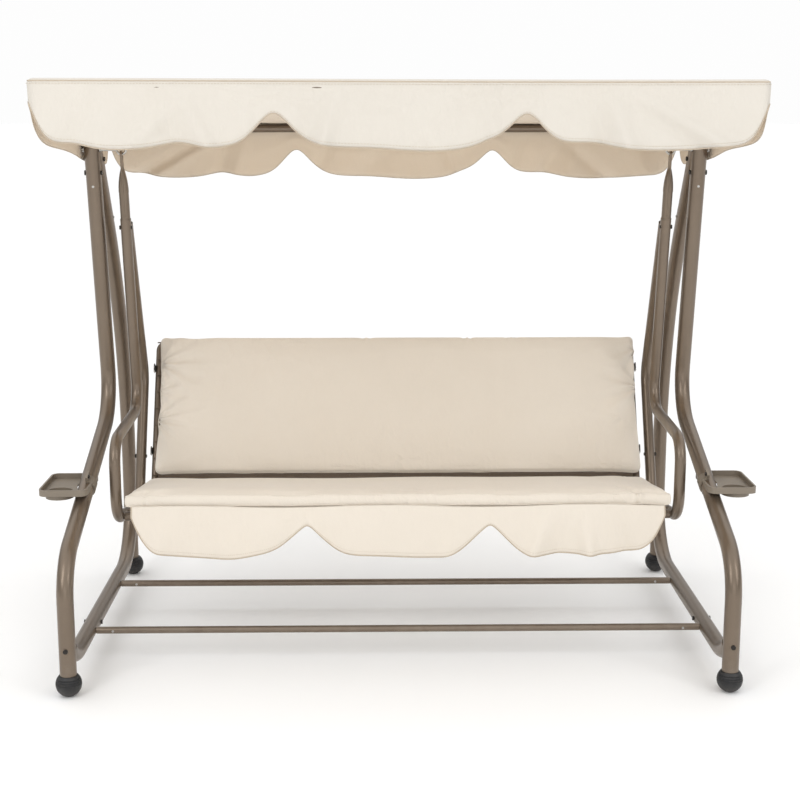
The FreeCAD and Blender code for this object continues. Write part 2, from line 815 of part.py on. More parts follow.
def back_map(x, d, level):
    """Point at distance d up the back from the pivot, level in front of the tube axis."""
    y = back_pivot_y + d * math.sin(recline) - level * math.cos(recline)
    z = back_pivot_z + d * math.cos(recline) + level * math.sin(recline)
    return Vector(x, y, z)


def back_side(side):
    """Side tube with a flattened-in top corner left square for the top rail."""
    low = back_map(side * back_half, -back_tube_od * 0.8, 0)
    high = back_map(side * back_half, back_top - back_tube_od / 2, 0)
    tube = pipe(low, high, back_tube_od, back_tube_wall)
    reach = back_tube_od
    return tube.cut(rod(Vector(side * back_half - reach, back_pivot_y, back_pivot_z),
                        Vector(side * back_half + reach, back_pivot_y, back_pivot_z),
                        bolt_radius + snug_clearance))


def back_top_rail():
    """Top rail that turns down into both side tubes."""
    drop = back_tube_od * 1.6
    corners = [(back_map(-back_half, back_top - back_tube_od / 2, 0), 0),
               (back_map(-back_half, back_top + drop / 2, 0), back_tube_od),
               (back_map(back_half, back_top + drop / 2, 0), back_tube_od),
               (back_map(back_half, back_top - back_tube_od / 2, 0), 0)]
    return bent_tube(corners, back_tube_od, back_tube_wall)


def back_bottom_rail_tube():
    reach = back_half - back_tube_od / 2
    return pipe(back_map(-reach, back_bottom_rail, 0), back_map(reach, back_bottom_rail, 0),
                back_tube_od, back_tube_wall)


back_mesh_top = back_top + back_tube_od * 0.8
back_wire_level = back_tube_od / 2 + 3 * wire_radius - wire_weld
back_cushion_back = back_wire_level + wire_radius + cushion_gap


def back_mesh():
    half = back_half + back_tube_od / 4
    return wire_grid(half, back_bottom_rail, back_mesh_top, back_wire_level, back_map)


def back_cushion():
    """Drawn upright in front of the pivot, then reclined."""
    base = back_cushion_start
    low = Vector(-back_cushion_half, back_pivot_y - back_cushion_back - back_cushion_thickness,
                 back_pivot_z + base)
    high = Vector(back_cushion_half, back_pivot_y - back_cushion_back,
                  back_pivot_z + base + back_cushion_length)
    block = rounded_box(low, high, cushion_edge_radius)
    return turn_x(block, back_pivot_y, back_pivot_z, -back_recline)


def back_pin(side):
    """Pivot bolt through the rear hanger and the back's side tube."""
    out = Vector(side, 0, 0)
    start = side_point(side, back_half - back_tube_od / 2 - nut_height - 1, back_pivot_y, back_pivot_z)
    end = side_point(side, hanger_x + hanger_od / 2, back_pivot_y, back_pivot_z)
    pin = rod(start, end, bolt_radius)
    return pin.fuse(rod(end, end + out * head_height, head_radius))


def back_pin_nut(side):
    start = side_point(side, back_half - back_tube_od / 2 - nut_height, back_pivot_y, back_pivot_z)
    out = Vector(side, 0, 0)
    nut = hexagon(start, out, 2 * head_radius, nut_height - 0.3)
    return nut.cut(rod(start - out, start + out * (nut_height + 1), bolt_radius + snug_clearance))


def ratchet_disc(side, inner_x, outer_x):
    """Toothed recline disc on the back pivot."""
    start = side_point(side, inner_x, back_pivot_y, back_pivot_z)
    end = side_point(side, outer_x, back_pivot_y, back_pivot_z)
    disc = rod(start, end, disc_radius)
    for i in range(disc_teeth):
        angle = 2 * math.pi * i / disc_teeth
        y = back_pivot_y + disc_radius * math.cos(angle)
        z = back_pivot_z + disc_radius * math.sin(angle)
        notch = rod(side_point(side, inner_x, y, z), side_point(side, outer_x, y, z), disc_notch)
        disc = disc.cut(notch)
    return disc.cut(rod(side_point(side, inner_x - 1, back_pivot_y, back_pivot_z),
                        side_point(side, outer_x + 1, back_pivot_y, back_pivot_z),
                        bolt_radius + snug_clearance))


def strap(side, d):
    """Webbing tie from the cushion round the back's side tube."""
    inner = back_tube_od / 2 + strap_gap
    width = strap_width
    centre = side * back_half
    wall = strap_thickness
    outer = box(Vector(centre - inner - wall, back_pivot_y - inner - wall, back_pivot_z + d),
                Vector(centre + inner + wall, back_pivot_y + inner + wall, back_pivot_z + d + width))
    hollow = box(Vector(centre - inner, back_pivot_y - inner, back_pivot_z + d - 1),
                 Vector(centre + inner, back_pivot_y + inner, back_pivot_z + d + width + 1))
    return turn_x(outer.cut(hollow), back_pivot_y, back_pivot_z, -back_recline)


def buckle(side, d):
    """Slide buckle on the outer face of a tie."""
    inner = back_tube_od / 2 + strap_gap + strap_thickness
    x = side * (back_half + inner)
    width = strap_width + 4.0
    low_x = min(x, x + side * 3.5)
    body = box(Vector(low_x, back_pivot_y - 9, back_pivot_z + d - 2),
               Vector(low_x + 3.5, back_pivot_y + 9, back_pivot_z + d - 2 + width))
    return turn_x(body, back_pivot_y, back_pivot_z, -back_recline)


back_pitch = even_pitch(back_bottom_rail, back_mesh_top)
strap_places = [back_bottom_rail + (gap + 0.5) * back_pitch - strap_width / 2 for gap in strap_gaps]

# ---------------------------------------------------------------- canopy (drawn level, then tilted)
rail_level = roof_top - roof_cloth - 0.3 - canopy_tube_od / 2
rail_x = canopy_half - roof_cloth - canopy_cloth_gap - canopy_tube_od / 2
rail_front = canopy_front - roof_cloth - canopy_cloth_gap - canopy_tube_od / 2
rail_rear = canopy_rear - roof_cloth - canopy_cloth_gap - canopy_tube_od / 2


def canopy_point(x, y, level):
    return Vector(x, pivot_y + y, pivot_z + level)


def tilt(shape):
    return turn_x(shape, pivot_y, pivot_z, -canopy_tilt)


def canopy_side_rail(side):
    inset = corner_size - canopy_tube_od / 2
    tube = pipe(canopy_point(side * rail_x, -rail_front + inset, rail_level),
                canopy_point(side * rail_x, rail_rear - inset, rail_level), canopy_tube_od, canopy_tube_wall)
    return tilt(tube)


def canopy_cross_rail(y, end_x, outer_d):
    left = canopy_point(-end_x, y, rail_level)
    right = canopy_point(end_x, y, rail_level)
    tube = pipe(left, right, outer_d, canopy_tube_wall)
    return tilt(tube)


def canopy_corner(side, end):
    """Moulded elbow with pegs into both rails."""
    y = -rail_front if end < 0 else rail_rear
    reach = corner_size - canopy_tube_od / 2
    centre = canopy_point(side * rail_x, y, rail_level)
    into_x = Vector(-side, 0, 0)
    into_y = Vector(0, -end, 0)
    body = Part.makeSphere(canopy_tube_od / 2, centre)
    peg = canopy_tube_od / 2 - canopy_tube_wall - spigot_clearance
    for direction in (into_x, into_y):
        body = body.fuse(rod(centre, centre + direction * reach, canopy_tube_od / 2))
        body = body.fuse(rod(centre, centre + direction * (reach + 35.0), peg))
    return tilt(body)


def roof():
    sheet = box(canopy_point(-canopy_half, -canopy_front, roof_top - roof_cloth),
                canopy_point(canopy_half, canopy_rear, roof_top))
    return tilt(sheet)


def canopy_valance(end):
    """Plumb flap under the roof's front or rear edge."""
    angle = math.radians(canopy_tilt)
    run = -canopy_front if end < 0 else canopy_rear
    level = roof_top - roof_cloth
    y = pivot_y + run * math.cos(angle) + level * math.sin(angle)
    z = pivot_z - run * math.sin(angle) + level * math.cos(angle)
    panel = scalloped_panel(canopy_half, 0, canopy_drop, canopy_notch, 3, roof_cloth)
    panel.translate(Vector(0, y if end < 0 else y - roof_cloth, z - roof_cloth * math.sin(angle)))
    return panel


def canopy_side_valance(side):
    half = (canopy_front + canopy_rear) / 2 - side_valance_inset
    panel = scalloped_panel(half, 0, side_drop, canopy_notch, 2, roof_cloth)
    panel.rotate(Vector(0, 0, 0), Z_AXIS, 90)
    x = canopy_half if side > 0 else -canopy_half + roof_cloth
    panel.translate(canopy_point(x, (canopy_rear - canopy_front) / 2, roof_top - roof_cloth))
    return tilt(panel)


def tilt_bracket(side):
    """Saddle under the side rail with two cheeks astride the apex head's tongue."""
    half = tongue_thickness / 2 + cheek_gap
    centre = side * frame_x
    saddle_out = side * (rail_x + canopy_tube_od / 2)
    saddle_in = side * (frame_x - half - cheek_thickness)
    low_x = min(saddle_in, saddle_out)
    high_x = max(saddle_in, saddle_out)
    rail_low = rail_level - canopy_tube_od / 2
    body = box(canopy_point(low_x, -saddle_half_length, saddle_rise),
               canopy_point(high_x, saddle_half_length, rail_low))
    for start in (centre + half, centre - half - cheek_thickness):
        end = start + cheek_thickness
        cheek = box(canopy_point(start, -tongue_radius, 0),
                    canopy_point(end, tongue_radius, saddle_rise + 1))
        cheek = cheek.fuse(rod(canopy_point(start, 0, 0), canopy_point(end, 0, 0), tongue_radius))
        body = body.fuse(cheek)
    hole = rod(canopy_point(centre - 4 * half, 0, 0), canopy_point(centre + 4 * half, 0, 0),
               bolt_radius + bolt_clearance)
    return tilt(body.cut(hole))


def saddle_screws(side):
    """Screws up through the saddle into the side rail."""
    screws = []
    x = side * rail_x
    for y in (screw_inset - saddle_half_length, saddle_half_length - screw_inset):
        low = canopy_point(x, y, saddle_rise - screw_head_height)
        screws.append(tilt(rod(low, canopy_point(x, y, saddle_rise), screw_head_radius)))
    return screws


def tilt_bolt(side):
    """Clamp bolt: head outside the cheeks, shank inward to the knob."""
    out = Vector(side, 0, 0)
    cheeks = tongue_thickness / 2 + cheek_gap + cheek_thickness
    cheek_out = frame_x + cheeks + bolt_head_gap
    knob_in = frame_x - cheeks - knob_gap - knob_length
    start = side_point(side, knob_in + knob_grip, pivot_y, pivot_z)
    end = side_point(side, cheek_out, pivot_y, pivot_z)
    return rod(start, end, bolt_radius).fuse(hexagon(end, out, 2 * head_radius, head_height))


def tilt_knob(side):
    """Lobed clamp knob on the inner end of the tilt bolt."""
    outer = frame_x - tongue_thickness / 2 - cheek_gap - cheek_thickness - knob_gap
    start = side_point(side, outer, pivot_y, pivot_z)
    end = side_point(side, outer - knob_length, pivot_y, pivot_z)
    knob = rod(start, end, knob_radius)
    for i in range(knob_lobes):
        angle = 2 * math.pi * i / knob_lobes
        reach = knob_radius + knob_lobe_radius * knob_lobe_depth
        y = pivot_y + reach * math.cos(angle)
        z = pivot_z + reach * math.sin(angle)
        lobe = rod(side_point(side, outer + 1, y, z),
                   side_point(side, outer - knob_length - 1, y, z), knob_lobe_radius)
        knob = knob.cut(lobe)
    bore_end = side_point(side, outer - knob_length + knob_floor, pivot_y, pivot_z)
    bore_start = side_point(side, outer + 1, pivot_y, pivot_z)
    return knob.cut(rod(bore_start, bore_end, bolt_radius + bolt_clearance / 2))


# ---------------------------------------------------------------- trays
def leg_slope_line(side, length, radius):
    """Cylinder on the sloping run of the front leg, centred where the tray is clamped."""
    centre = frame_point(side, (clamp_y, clamp_z))
    heading = unit(frame_point(side, shin), frame_point(side, knee))
    return rod(centre - heading * (length / 2), centre + heading * (length / 2), radius)


clamp_z = shin_z + (clamp_y + foot_y) * (knee_z - shin_z) / (knee_y + foot_y)


def tray(side):
    """Shallow side table with a rim, a drink well and a half clamp round the leg."""
    def slab(inset, low, high):
        block = box(Vector(tray_inner_x + inset, tray_front_y + inset, low),
                    Vector(tray_outer_x - inset, tray_rear_y - inset, high))
        uprights = [edge for edge in block.Edges if abs(edge.Vertexes[0].Z - edge.Vertexes[1].Z) > 1]
        return block.makeFillet(tray_corner - inset, uprights)

    hollow = slab(tray_rim_wall, tray_floor_z + tray_thickness, tray_rim_z + 1)
    body = slab(0, tray_floor_z, tray_rim_z).cut(hollow)
    well_low = tray_floor_z - cup_depth
    well_foot = Vector(cup_x, cup_y, well_low)
    well = Part.makeCylinder(cup_radius + cup_wall, cup_depth + tray_thickness, well_foot)
    body = body.fuse(well)
    body = body.cut(Part.makeCylinder(cup_radius, 2 * cup_depth + tray_thickness,
                                      Vector(cup_x, cup_y, well_low + cup_wall)))
    body = body.cut(leg_slope_line(1, 2 * (tray_rear_y - tray_front_y), frame_od / 2 + tray_leg_gap))
    clamp_room = frame_od / 2 + clamp_wall + clamp_gap
    body = body.cut(leg_slope_line(1, clamp_length + 2 * clamp_split, clamp_room))
    shell = leg_slope_line(1, clamp_length, frame_od / 2 + clamp_wall)
    shell = shell.cut(leg_slope_line(1, 2 * clamp_length, frame_od / 2))
    outside = box(Vector(frame_x + clamp_split, -foot_y, 0), Vector(tray_outer_x, foot_y, head_top_z))
    outer_half = shell.common(outside)
    body = body.fuse(outer_half)
    body = body.cut(clamp_ears(-clamp_split - clamp_ear_thickness, clamp_gap))
    body = body.fuse(clamp_ears(clamp_split))
    body = max(body.Solids, key=lambda solid: solid.Volume)
    if side < 0:
        body = body.mirror(Vector(0, 0, 0), X_AXIS)
    return body


def clamp_ears(start, room=0):
    """Flanges above and below the leg, where the clamp halves are bolted together."""
    ears = []
    heading = unit(frame_point(1, shin), frame_point(1, knee))
    normal = Vector(0, -heading.z, heading.y)
    centre = frame_point(1, (clamp_y, clamp_z))
    for way in (-1, 1):
        inner = centre + normal * (way * (frame_od / 2 + clamp_ear_lift))
        foot = -clamp_ear if way < 0 else 0
        block = box(Vector(start - room, -clamp_length / 2 - room, foot - room),
                    Vector(start + clamp_ear_thickness + room, clamp_length / 2 + room,
                           foot + clamp_ear + room))
        block.rotate(Vector(0, 0, 0), X_AXIS, math.degrees(math.atan2(heading.z, heading.y)))
        block.translate(inner)
        ears.append(block)
    return ears


def tray_clamp(side):
    shell = leg_slope_line(1, clamp_length, frame_od / 2 + clamp_wall)
    shell = shell.cut(leg_slope_line(1, 2 * clamp_length, frame_od / 2))
    half = shell.common(box(Vector(0, -foot_y, 0), Vector(frame_x - clamp_split, foot_y, head_top_z)))
    body = half.fuse(clamp_ears(-clamp_split - clamp_ear_thickness))
    if side < 0:
        body = body.mirror(Vector(0, 0, 0), X_AXIS)
    return body


def tray_bolts(side):
    bolts = []
    heading = unit(frame_point(1, shin), frame_point(1, knee))
    normal = Vector(0, -heading.z, heading.y)
    centre = frame_point(1, (clamp_y, clamp_z))
    for way in (-1, 1):
        rise = frame_od / 2 + clamp_ear_lift + clamp_ear * clamp_bolt_share
        low = centre + normal * (way * rise) - X_AXIS * (clamp_split + clamp_ear_thickness)
        bolt = rod(low - X_AXIS * head_height, low, clamp_head_radius)
        if side < 0:
            bolt = bolt.mirror(Vector(0, 0, 0), X_AXIS)
        bolts.append(bolt)
    return bolts


# ---------------------------------------------------------------- write every piece
for side_name, side in SIDES:
    save("front_leg_" + side_name, front_leg(side))
    save("rear_leg_" + side_name, rear_leg(side))
    save("front_foot_piece_" + side_name, front_foot_piece(side))
    save("apex_head_" + side_name, apex_head(side))
    save("hanger_top_" + side_name, hanger_top(side))
    save("hanger_front_" + side_name, hanger_front(side))
    save("hanger_rear_" + side_name, hanger_rear(side))
    save("back_side_tube_" + side_name, back_side(side))
    save("canopy_side_valance_" + side_name, canopy_side_valance(side))
    save("tilt_knob_" + side_name, tilt_knob(side))
    save("tray_" + side_name, tray(side))

save("crossbar_front", crossbar(bar_front_y))
save("crossbar_rear", crossbar(bar_rear_y))
save("ground_tubes", group([ground_tube(-1), ground_tube(1)]))
save("ball_feet_front", group([ball_foot(-1, -1), ball_foot(1, -1)]))
save("ball_feet_rear", group([ball_foot(-1, 1), ball_foot(1, 1)]))
save("frame_rivets", group(crossbar_buttons() + leg_rivets()))
save("swing_hooks", group([swing_hook(-1), swing_hook(1)]))
save("tray_clamps", group([tray_clamp(-1), tray_clamp(1)]))
save("apex_bolts", group(apex_bolts()))
save("ground_bolts", group(ground_bolts()))
save("hook_nuts", group(hook_nuts(-1) + hook_nuts(1)))
save("hanger_bolts", group(hanger_bolts()))
save("seat_front_rail", seat_rail(front_rail))
save("seat_rear_rail", seat_rail(rear_rail))
save("seat_mesh", seat_mesh())
save("seat_cushion", seat_cushion())
save("seat_valance", seat_valance())
save("back_top_rail", back_top_rail())
save("back_bottom_rail", back_bottom_rail_tube())
save("back_mesh", back_mesh())
save("back_cushion", back_cushion())
disc_outer = inner_reach
disc_middle = disc_outer - disc_thickness
disc_inner = disc_middle - disc_gap
save("recline_discs_fixed", group([ratchet_disc(side, disc_middle, disc_outer)
                                   for side_name, side in SIDES]))
save("recline_discs_moving", group([ratchet_disc(side, back_half + back_tube_od / 2, disc_inner)
                                    for side_name, side in SIDES]))
save("back_pivot_bolts", group([back_pin(-1), back_pin(1), back_pin_nut(-1), back_pin_nut(1)]))
save("cushion_straps", group([strap(side, d) for side_name, side in SIDES for d in strap_places]))
save("strap_buckles", group([buckle(side, d) for side_name, side in SIDES for d in strap_places]))
save("canopy_roof", roof())
save("canopy_valance_front", canopy_valance(-1))
save("canopy_valance_rear", canopy_valance(1))
rail_reach = rail_x - corner_size + canopy_tube_od / 2
save("canopy_front_rail", canopy_cross_rail(-rail_front, rail_reach, canopy_tube_od))
save("canopy_rear_rail", canopy_cross_rail(rail_rear, rail_reach, canopy_tube_od))
save("canopy_corners", group([canopy_corner(side, end) for side_name, side in SIDES for end in (-1, 1)]))
save("canopy_side_rails", group([canopy_side_rail(-1), canopy_side_rail(1)]))
save("tilt_brackets", group([tilt_bracket(-1), tilt_bracket(1)]))
save("tilt_bolts", group([tilt_bolt(-1), tilt_bolt(1)]))
save("saddle_screws", group(saddle_screws(-1) + saddle_screws(1)))
save("tray_bolts", group(tray_bolts(-1) + tray_bolts(1)))
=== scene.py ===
import json
import math

import bmesh
import bpy
import numpy as np
from mathutils import Matrix, Vector
from mathutils.bvhtree import BVHTree


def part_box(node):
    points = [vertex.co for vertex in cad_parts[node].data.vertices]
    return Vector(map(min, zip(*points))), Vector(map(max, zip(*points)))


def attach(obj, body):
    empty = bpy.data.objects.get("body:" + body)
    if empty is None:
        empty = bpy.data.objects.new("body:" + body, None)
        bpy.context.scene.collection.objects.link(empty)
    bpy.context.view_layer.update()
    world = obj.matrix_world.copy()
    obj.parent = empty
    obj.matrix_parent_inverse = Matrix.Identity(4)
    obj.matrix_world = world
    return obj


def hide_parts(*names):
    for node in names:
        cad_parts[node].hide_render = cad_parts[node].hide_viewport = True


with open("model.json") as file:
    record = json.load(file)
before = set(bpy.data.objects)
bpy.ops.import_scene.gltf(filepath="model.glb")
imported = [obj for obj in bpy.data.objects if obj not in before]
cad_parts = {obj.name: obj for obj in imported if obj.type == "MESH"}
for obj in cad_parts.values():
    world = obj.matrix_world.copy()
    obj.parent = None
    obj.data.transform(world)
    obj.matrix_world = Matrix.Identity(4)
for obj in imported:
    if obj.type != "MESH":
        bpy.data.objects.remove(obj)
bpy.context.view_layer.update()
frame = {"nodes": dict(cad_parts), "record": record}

nodes = frame["nodes"]
mm = 0.001


# ---- shader maths: a socket that can be added, multiplied and so on
class Value:
    def __init__(self, finish, socket):
        self.finish = finish
        self.socket = socket

    def math(self, operation, *others):
        return self.finish.number("ShaderNodeMath", {"operation": operation}, [self, *others])

    def __add__(self, other):
        return self.math("ADD", other)

    __radd__ = __add__

    def __sub__(self, other):
        return self.math("SUBTRACT", other)

    def __rsub__(self, other):
        return self.finish.number("ShaderNodeMath", {"operation": "SUBTRACT"}, [other, self])

    def __mul__(self, other):
        return self.math("MULTIPLY", other)

    __rmul__ = __mul__

    def sin(self):
        return self.math("SINE")

    def abs(self):
        return self.math("ABSOLUTE")

    def min(self, other):
        return self.math("MINIMUM", other)

    def max(self, other):
        return self.math("MAXIMUM", other)

    def above(self, limit):
        return self.math("GREATER_THAN", limit)

    def clamp(self):
        return self.max(0.0).min(1.0)


class Finish:
    # one procedural material; node() makes every node but the maths
    def __init__(self, name, **constants):
        self.material = bpy.data.materials.new(name)
        self.material.use_nodes = True
        self.tree = self.material.node_tree
        self.shader = self.tree.nodes["Principled BSDF"]
        for socket, value in constants.items():
            self.shader.inputs[self.title(socket)].default_value = value

    def title(self, socket):
        # base_color is the socket Base Color
        return " ".join(word.capitalize() for word in socket.split("_")).replace("Ior", "IOR")

    def node(self, kind, settings=None, sockets=None):
        made = self.tree.nodes.new(kind)
        for key, value in (settings or {}).items():
            setattr(made, key, value)
        pairs = sockets.items() if isinstance(sockets, dict) else enumerate(sockets or [])
        for key, value in pairs:
            if isinstance(value, Value):
                value = value.socket
            if isinstance(value, bpy.types.NodeSocket):
                self.tree.links.new(value, made.inputs[key])
            else:
                made.inputs[key].default_value = value
        return made

    def number(self, kind, settings, sockets, output=0):
        return Value(self, self.node(kind, settings, sockets).outputs[output])

    def place(self, scale=(1, 1, 1)):
        where = self.node("ShaderNodeTexCoord").outputs["Object"]
        return self.node("ShaderNodeMapping", None, {"Vector": where, "Scale": scale}).outputs["Vector"]

    def clothPlace(self, scale=(1, 1, 1)):
        where = self.node("ShaderNodeAttribute", {"attribute_name": "cloth"}).outputs["Vector"]
        return self.node("ShaderNodeMapping", None, {"Vector": where, "Scale": scale}).outputs["Vector"]

    def noise(self, where, scale, detail=3.0, roughness=0.55):
        return self.number("ShaderNodeTexNoise", None,
                           {"Vector": where, "Scale": scale, "Detail": detail, "Roughness": roughness}, "Fac")

    def parts(self, where):
        made = self.node("ShaderNodeSeparateXYZ", None, [where])
        return [Value(self, made.outputs[i]) for i in range(3)]

    def mix(self, factor, a, b):
        colours = [colour if isinstance(colour, bpy.types.NodeSocket) else (*colour, 1) for colour in (a, b)]
        made = self.node("ShaderNodeMix", {"data_type": "RGBA"}, {0: factor, 6: colours[0], 7: colours[1]})
        return made.outputs[2]

    def bump(self, height, depth, strength=1.0, under=None):
        sockets = {"Height": height, "Distance": depth, "Strength": strength}
        if under is not None:
            sockets["Normal"] = under
        return self.node("ShaderNodeBump", None, sockets).outputs["Normal"]

    def feed(self, **links):
        for socket, value in links.items():
            value = value.socket if isinstance(value, Value) else value
            self.tree.links.new(value, self.shader.inputs[self.title(socket)])
        return self.material


# ---- finishes
coatLook = {"dark": (0.150, 0.112, 0.080), "light": (0.215, 0.168, 0.125), "fleck": (0.36, 0.30, 0.24),
            "metallic": 0.72, "roughness": 0.34, "fleckScale": 2600, "peelScale": 420, "peelDepth": 0.00006,
            "dust": (0.40, 0.36, 0.30), "dustTop": 0.13}


def makePowderCoat(name, shade):
    finish = Finish(name, ior=1.5, coat_weight=0.25, coat_roughness=0.22)
    where = finish.place()
    cloud = finish.noise(where, 5, 4)
    fleck = (finish.noise(where, coatLook["fleckScale"], 1) - 0.62).clamp() * 6
    scuff = (finish.noise(finish.place((9, 9, 1.2)), 14, 6, 0.7) - 0.60).clamp() * 5
    # a shade below 1 darkens the whole coat, and that darkening is painted shade
    dark = tuple(shade * c for c in coatLook["dark"])
    light = tuple(shade * c for c in coatLook["light"])
    colour = finish.mix(cloud, dark, light)
    colour = finish.mix(fleck.clamp() * 0.5, colour, coatLook["fleck"])
    low = (coatLook["dustTop"] - finish.parts(where)[2]) * 7
    dust = (low.clamp() * (finish.noise(where, 38, 5) * 1.5 - 0.45)).clamp() * 0.5
    colour = finish.mix(dust, colour, coatLook["dust"])
    roughness = (cloud * 0.10 + scuff * 0.10 + dust * 0.5 + coatLook["roughness"] - 0.05).clamp()
    peel = finish.noise(where, coatLook["peelScale"], 2)
    normal = finish.bump(peel, coatLook["peelDepth"])
    metallic = (coatLook["metallic"] - dust * 0.8).clamp()
    return finish.feed(base_color=colour, roughness=roughness, metallic=metallic, normal=normal)


def makeRubber(name):
    finish = Finish(name, ior=1.5)
    where = finish.place()
    grain = finish.noise(where, 900, 3)
    scuff = (finish.noise(where, 60, 6, 0.7) - 0.48).clamp() * 4
    low = (0.03 - finish.parts(where)[2]) * 30
    grime = (scuff * 0.35 + low.clamp() * 0.6).clamp()
    colour = finish.mix(grime, (0.012, 0.012, 0.013), (0.085, 0.078, 0.07))
    return finish.feed(base_color=colour, roughness=(grain * 0.15 + grime * 0.25 + 0.42).clamp(),
                       normal=finish.bump(grain, 0.0001))


def makeMetal(name, dark, light, roughness, metallic=1.0):
    finish = Finish(name)
    streak = finish.noise(finish.place((40, 40, 700)), 1, 4, 0.6)
    cloud = finish.noise(finish.place(), 90, 4)
    colour = finish.mix((streak * 0.6 + cloud * 0.5).clamp(), dark, light)
    return finish.feed(base_color=colour, roughness=(streak * 0.2 + cloud * 0.1 + roughness - 0.12).clamp(),
                       metallic=(cloud * 0.06 + metallic - 0.06).clamp(), normal=finish.bump(streak, 0.00003))


plasticLook = {"grainScale": 1100, "grainDepth": 0.00008}


def makePlastic(name, dark, light, roughness):
    finish = Finish(name, ior=1.48)
    where = finish.place()
    grain = finish.noise(where, plasticLook["grainScale"], 2)
    cloud = finish.noise(where, 12, 4)
    scuff = (finish.noise(finish.place((3, 1, 1)), 120, 5, 0.7) - 0.58).clamp() * 4
    colour = finish.mix((cloud * 0.7 + scuff * 0.3).clamp(), dark, light)
    return finish.feed(base_color=colour, roughness=(grain * 0.12 + scuff * 0.1 + roughness).clamp(),
                       normal=finish.bump(grain, plasticLook["grainDepth"]))


clothLook = {"thread": 1.1 * mm, "threadDepth": 0.00012, "slubScale": 260, "puckerDepth": 0.006,
             "creaseDepth": 0.0022, "roughness": 0.82}


def makeCloth(name, dark, light, warm, sheen=0.25):
    # plain weave on the piece's own cloth coordinates, with soft creases and slightly uneven thread
    finish = Finish(name, ior=1.45, sheen_weight=sheen, sheen_roughness=0.45, specular_ior_level=0.3)
    where = finish.clothPlace()
    u, v = finish.parts(where)[:2]
    turns = math.pi / clothLook["thread"]
    warp = (u * turns).sin()
    weft = (v * turns).sin()
    over = (warp * weft).above(0.0)
    weave = over * warp.abs() + (1 - over) * weft.abs()
    slub = finish.noise(finish.clothPlace((1, 9, 1)), clothLook["slubScale"], 3)
    cloud = finish.noise(where, 3.2, 5, 0.6)
    patch = finish.noise(where, 1.1, 3)
    colour = finish.mix(cloud, dark, light)
    colour = finish.mix((patch * 1.6 - 0.55).clamp() * 0.35, colour, warm)
    colour = finish.mix((1 - weave) * 0.12 + slub * 0.06, colour, tuple(c * 0.62 for c in dark))
    puckers = finish.noise(finish.clothPlace((1.0, 0.45, 1.0)), 8, 5, 0.6)
    ridge = 1 - (finish.noise(finish.clothPlace((1.0, 0.6, 1.0)), 17, 3, 0.5) * 2 - 1).abs() * 5
    ridge = ridge.clamp() * (patch * 3.2 - 1.45).clamp()
    normal = finish.bump(puckers, clothLook["puckerDepth"])
    normal = finish.bump(ridge, clothLook["creaseDepth"], 1.0, normal)
    normal = finish.bump(weave * 0.8 + slub * 0.2, clothLook["threadDepth"], 0.7, normal)
    roughness = (slub * 0.1 + clothLook["roughness"] - 0.05).clamp()
    return finish.feed(base_color=colour, roughness=roughness, normal=normal)


webbingLook = {"rib": 1.6 * mm, "cross": 2.4 * mm}


def makeWebbing(name, dark, light):
    finish = Finish(name, sheen_weight=0.2)
    where = finish.clothPlace()
    u, v = finish.parts(where)[:2]
    rib = ((u + v * 0.5) * (math.pi / webbingLook["rib"])).sin().abs()
    cross = (v * (math.pi / webbingLook["cross"])).sin().abs()
    weave = rib * 0.6 + cross * 0.4
    fuzz = finish.noise(where, 900, 3)
    colour = finish.mix((weave * 0.6 + fuzz * 0.4).clamp(), dark, light)
    return finish.feed(base_color=colour, roughness=(fuzz * 0.2 + 0.66).clamp(),
                       normal=finish.bump(weave, 0.0003))


finishes = {
    "bronze_tube": makePowderCoat("bronzePowderCoat", 1.0),
    # the rails inside the canopy get the same coat 8% darker: painted shade of the canopy over them
    "bronze_rail": makePowderCoat("bronzePowderCoatShadedRail", 0.92),
    "black_rubber": makeRubber("footRubber"),
    "zinc": makeMetal("brightZinc", (0.34, 0.33, 0.31), (0.62, 0.61, 0.58), 0.34),
    "dark_bolt": makeMetal("blackBolt", (0.018, 0.016, 0.014), (0.055, 0.05, 0.045), 0.4, 0.7),
    "black_plastic": makePlastic("blackMoulding", (0.012, 0.012, 0.012), (0.03, 0.029, 0.028), 0.42),
    "taupe_plastic": makePlastic("taupeMoulding", (0.20, 0.165, 0.125), (0.25, 0.21, 0.165), 0.44),
    "white_plastic": makePlastic("buckleMoulding", (0.62, 0.61, 0.58), (0.78, 0.77, 0.74), 0.3),
    "cream_fabric": makeCloth("cushionCloth", (0.75, 0.68, 0.585), (0.82, 0.755, 0.665), (0.80, 0.70, 0.585)),
    "canopy_fabric": makeCloth("canopyCloth", (0.665, 0.622, 0.555), (0.735, 0.695, 0.63),
                               (0.71, 0.645, 0.555)),
    "black_webbing": makeWebbing("strapWebbing", (0.010, 0.010, 0.011), (0.045, 0.044, 0.043)),
}
# the canopy's inner face gets a warmer tan copy of the cloth: painted glow of light through the cloth and
# painted shade of the underside
undersideGlowCloth = makeCloth("canopyUndersideGlow", (0.75, 0.64, 0.51), (0.83, 0.73, 0.60), (0.76, 0.63, 0.49), sheen=0.1)
threadCloth = makeWebbing("seamThread", (0.50, 0.43, 0.34), (0.66, 0.58, 0.47))
# dark cloth for the hem bindings; on the roof-edge cord the same dark colour also paints the fold's shade
bindingAndShadeCordCloth = makeWebbing("hemBindingAndShadeCord", (0.42, 0.34, 0.25), (0.58, 0.49, 0.38))
print("finishes made:", len(finishes) + 3)


def paintFrame():
    for part in frame["record"]["subparts"]:
        for place in nodes[part["node"]].material_slots:
            place.material = finishes[part["material_slot"]]


paintFrame()


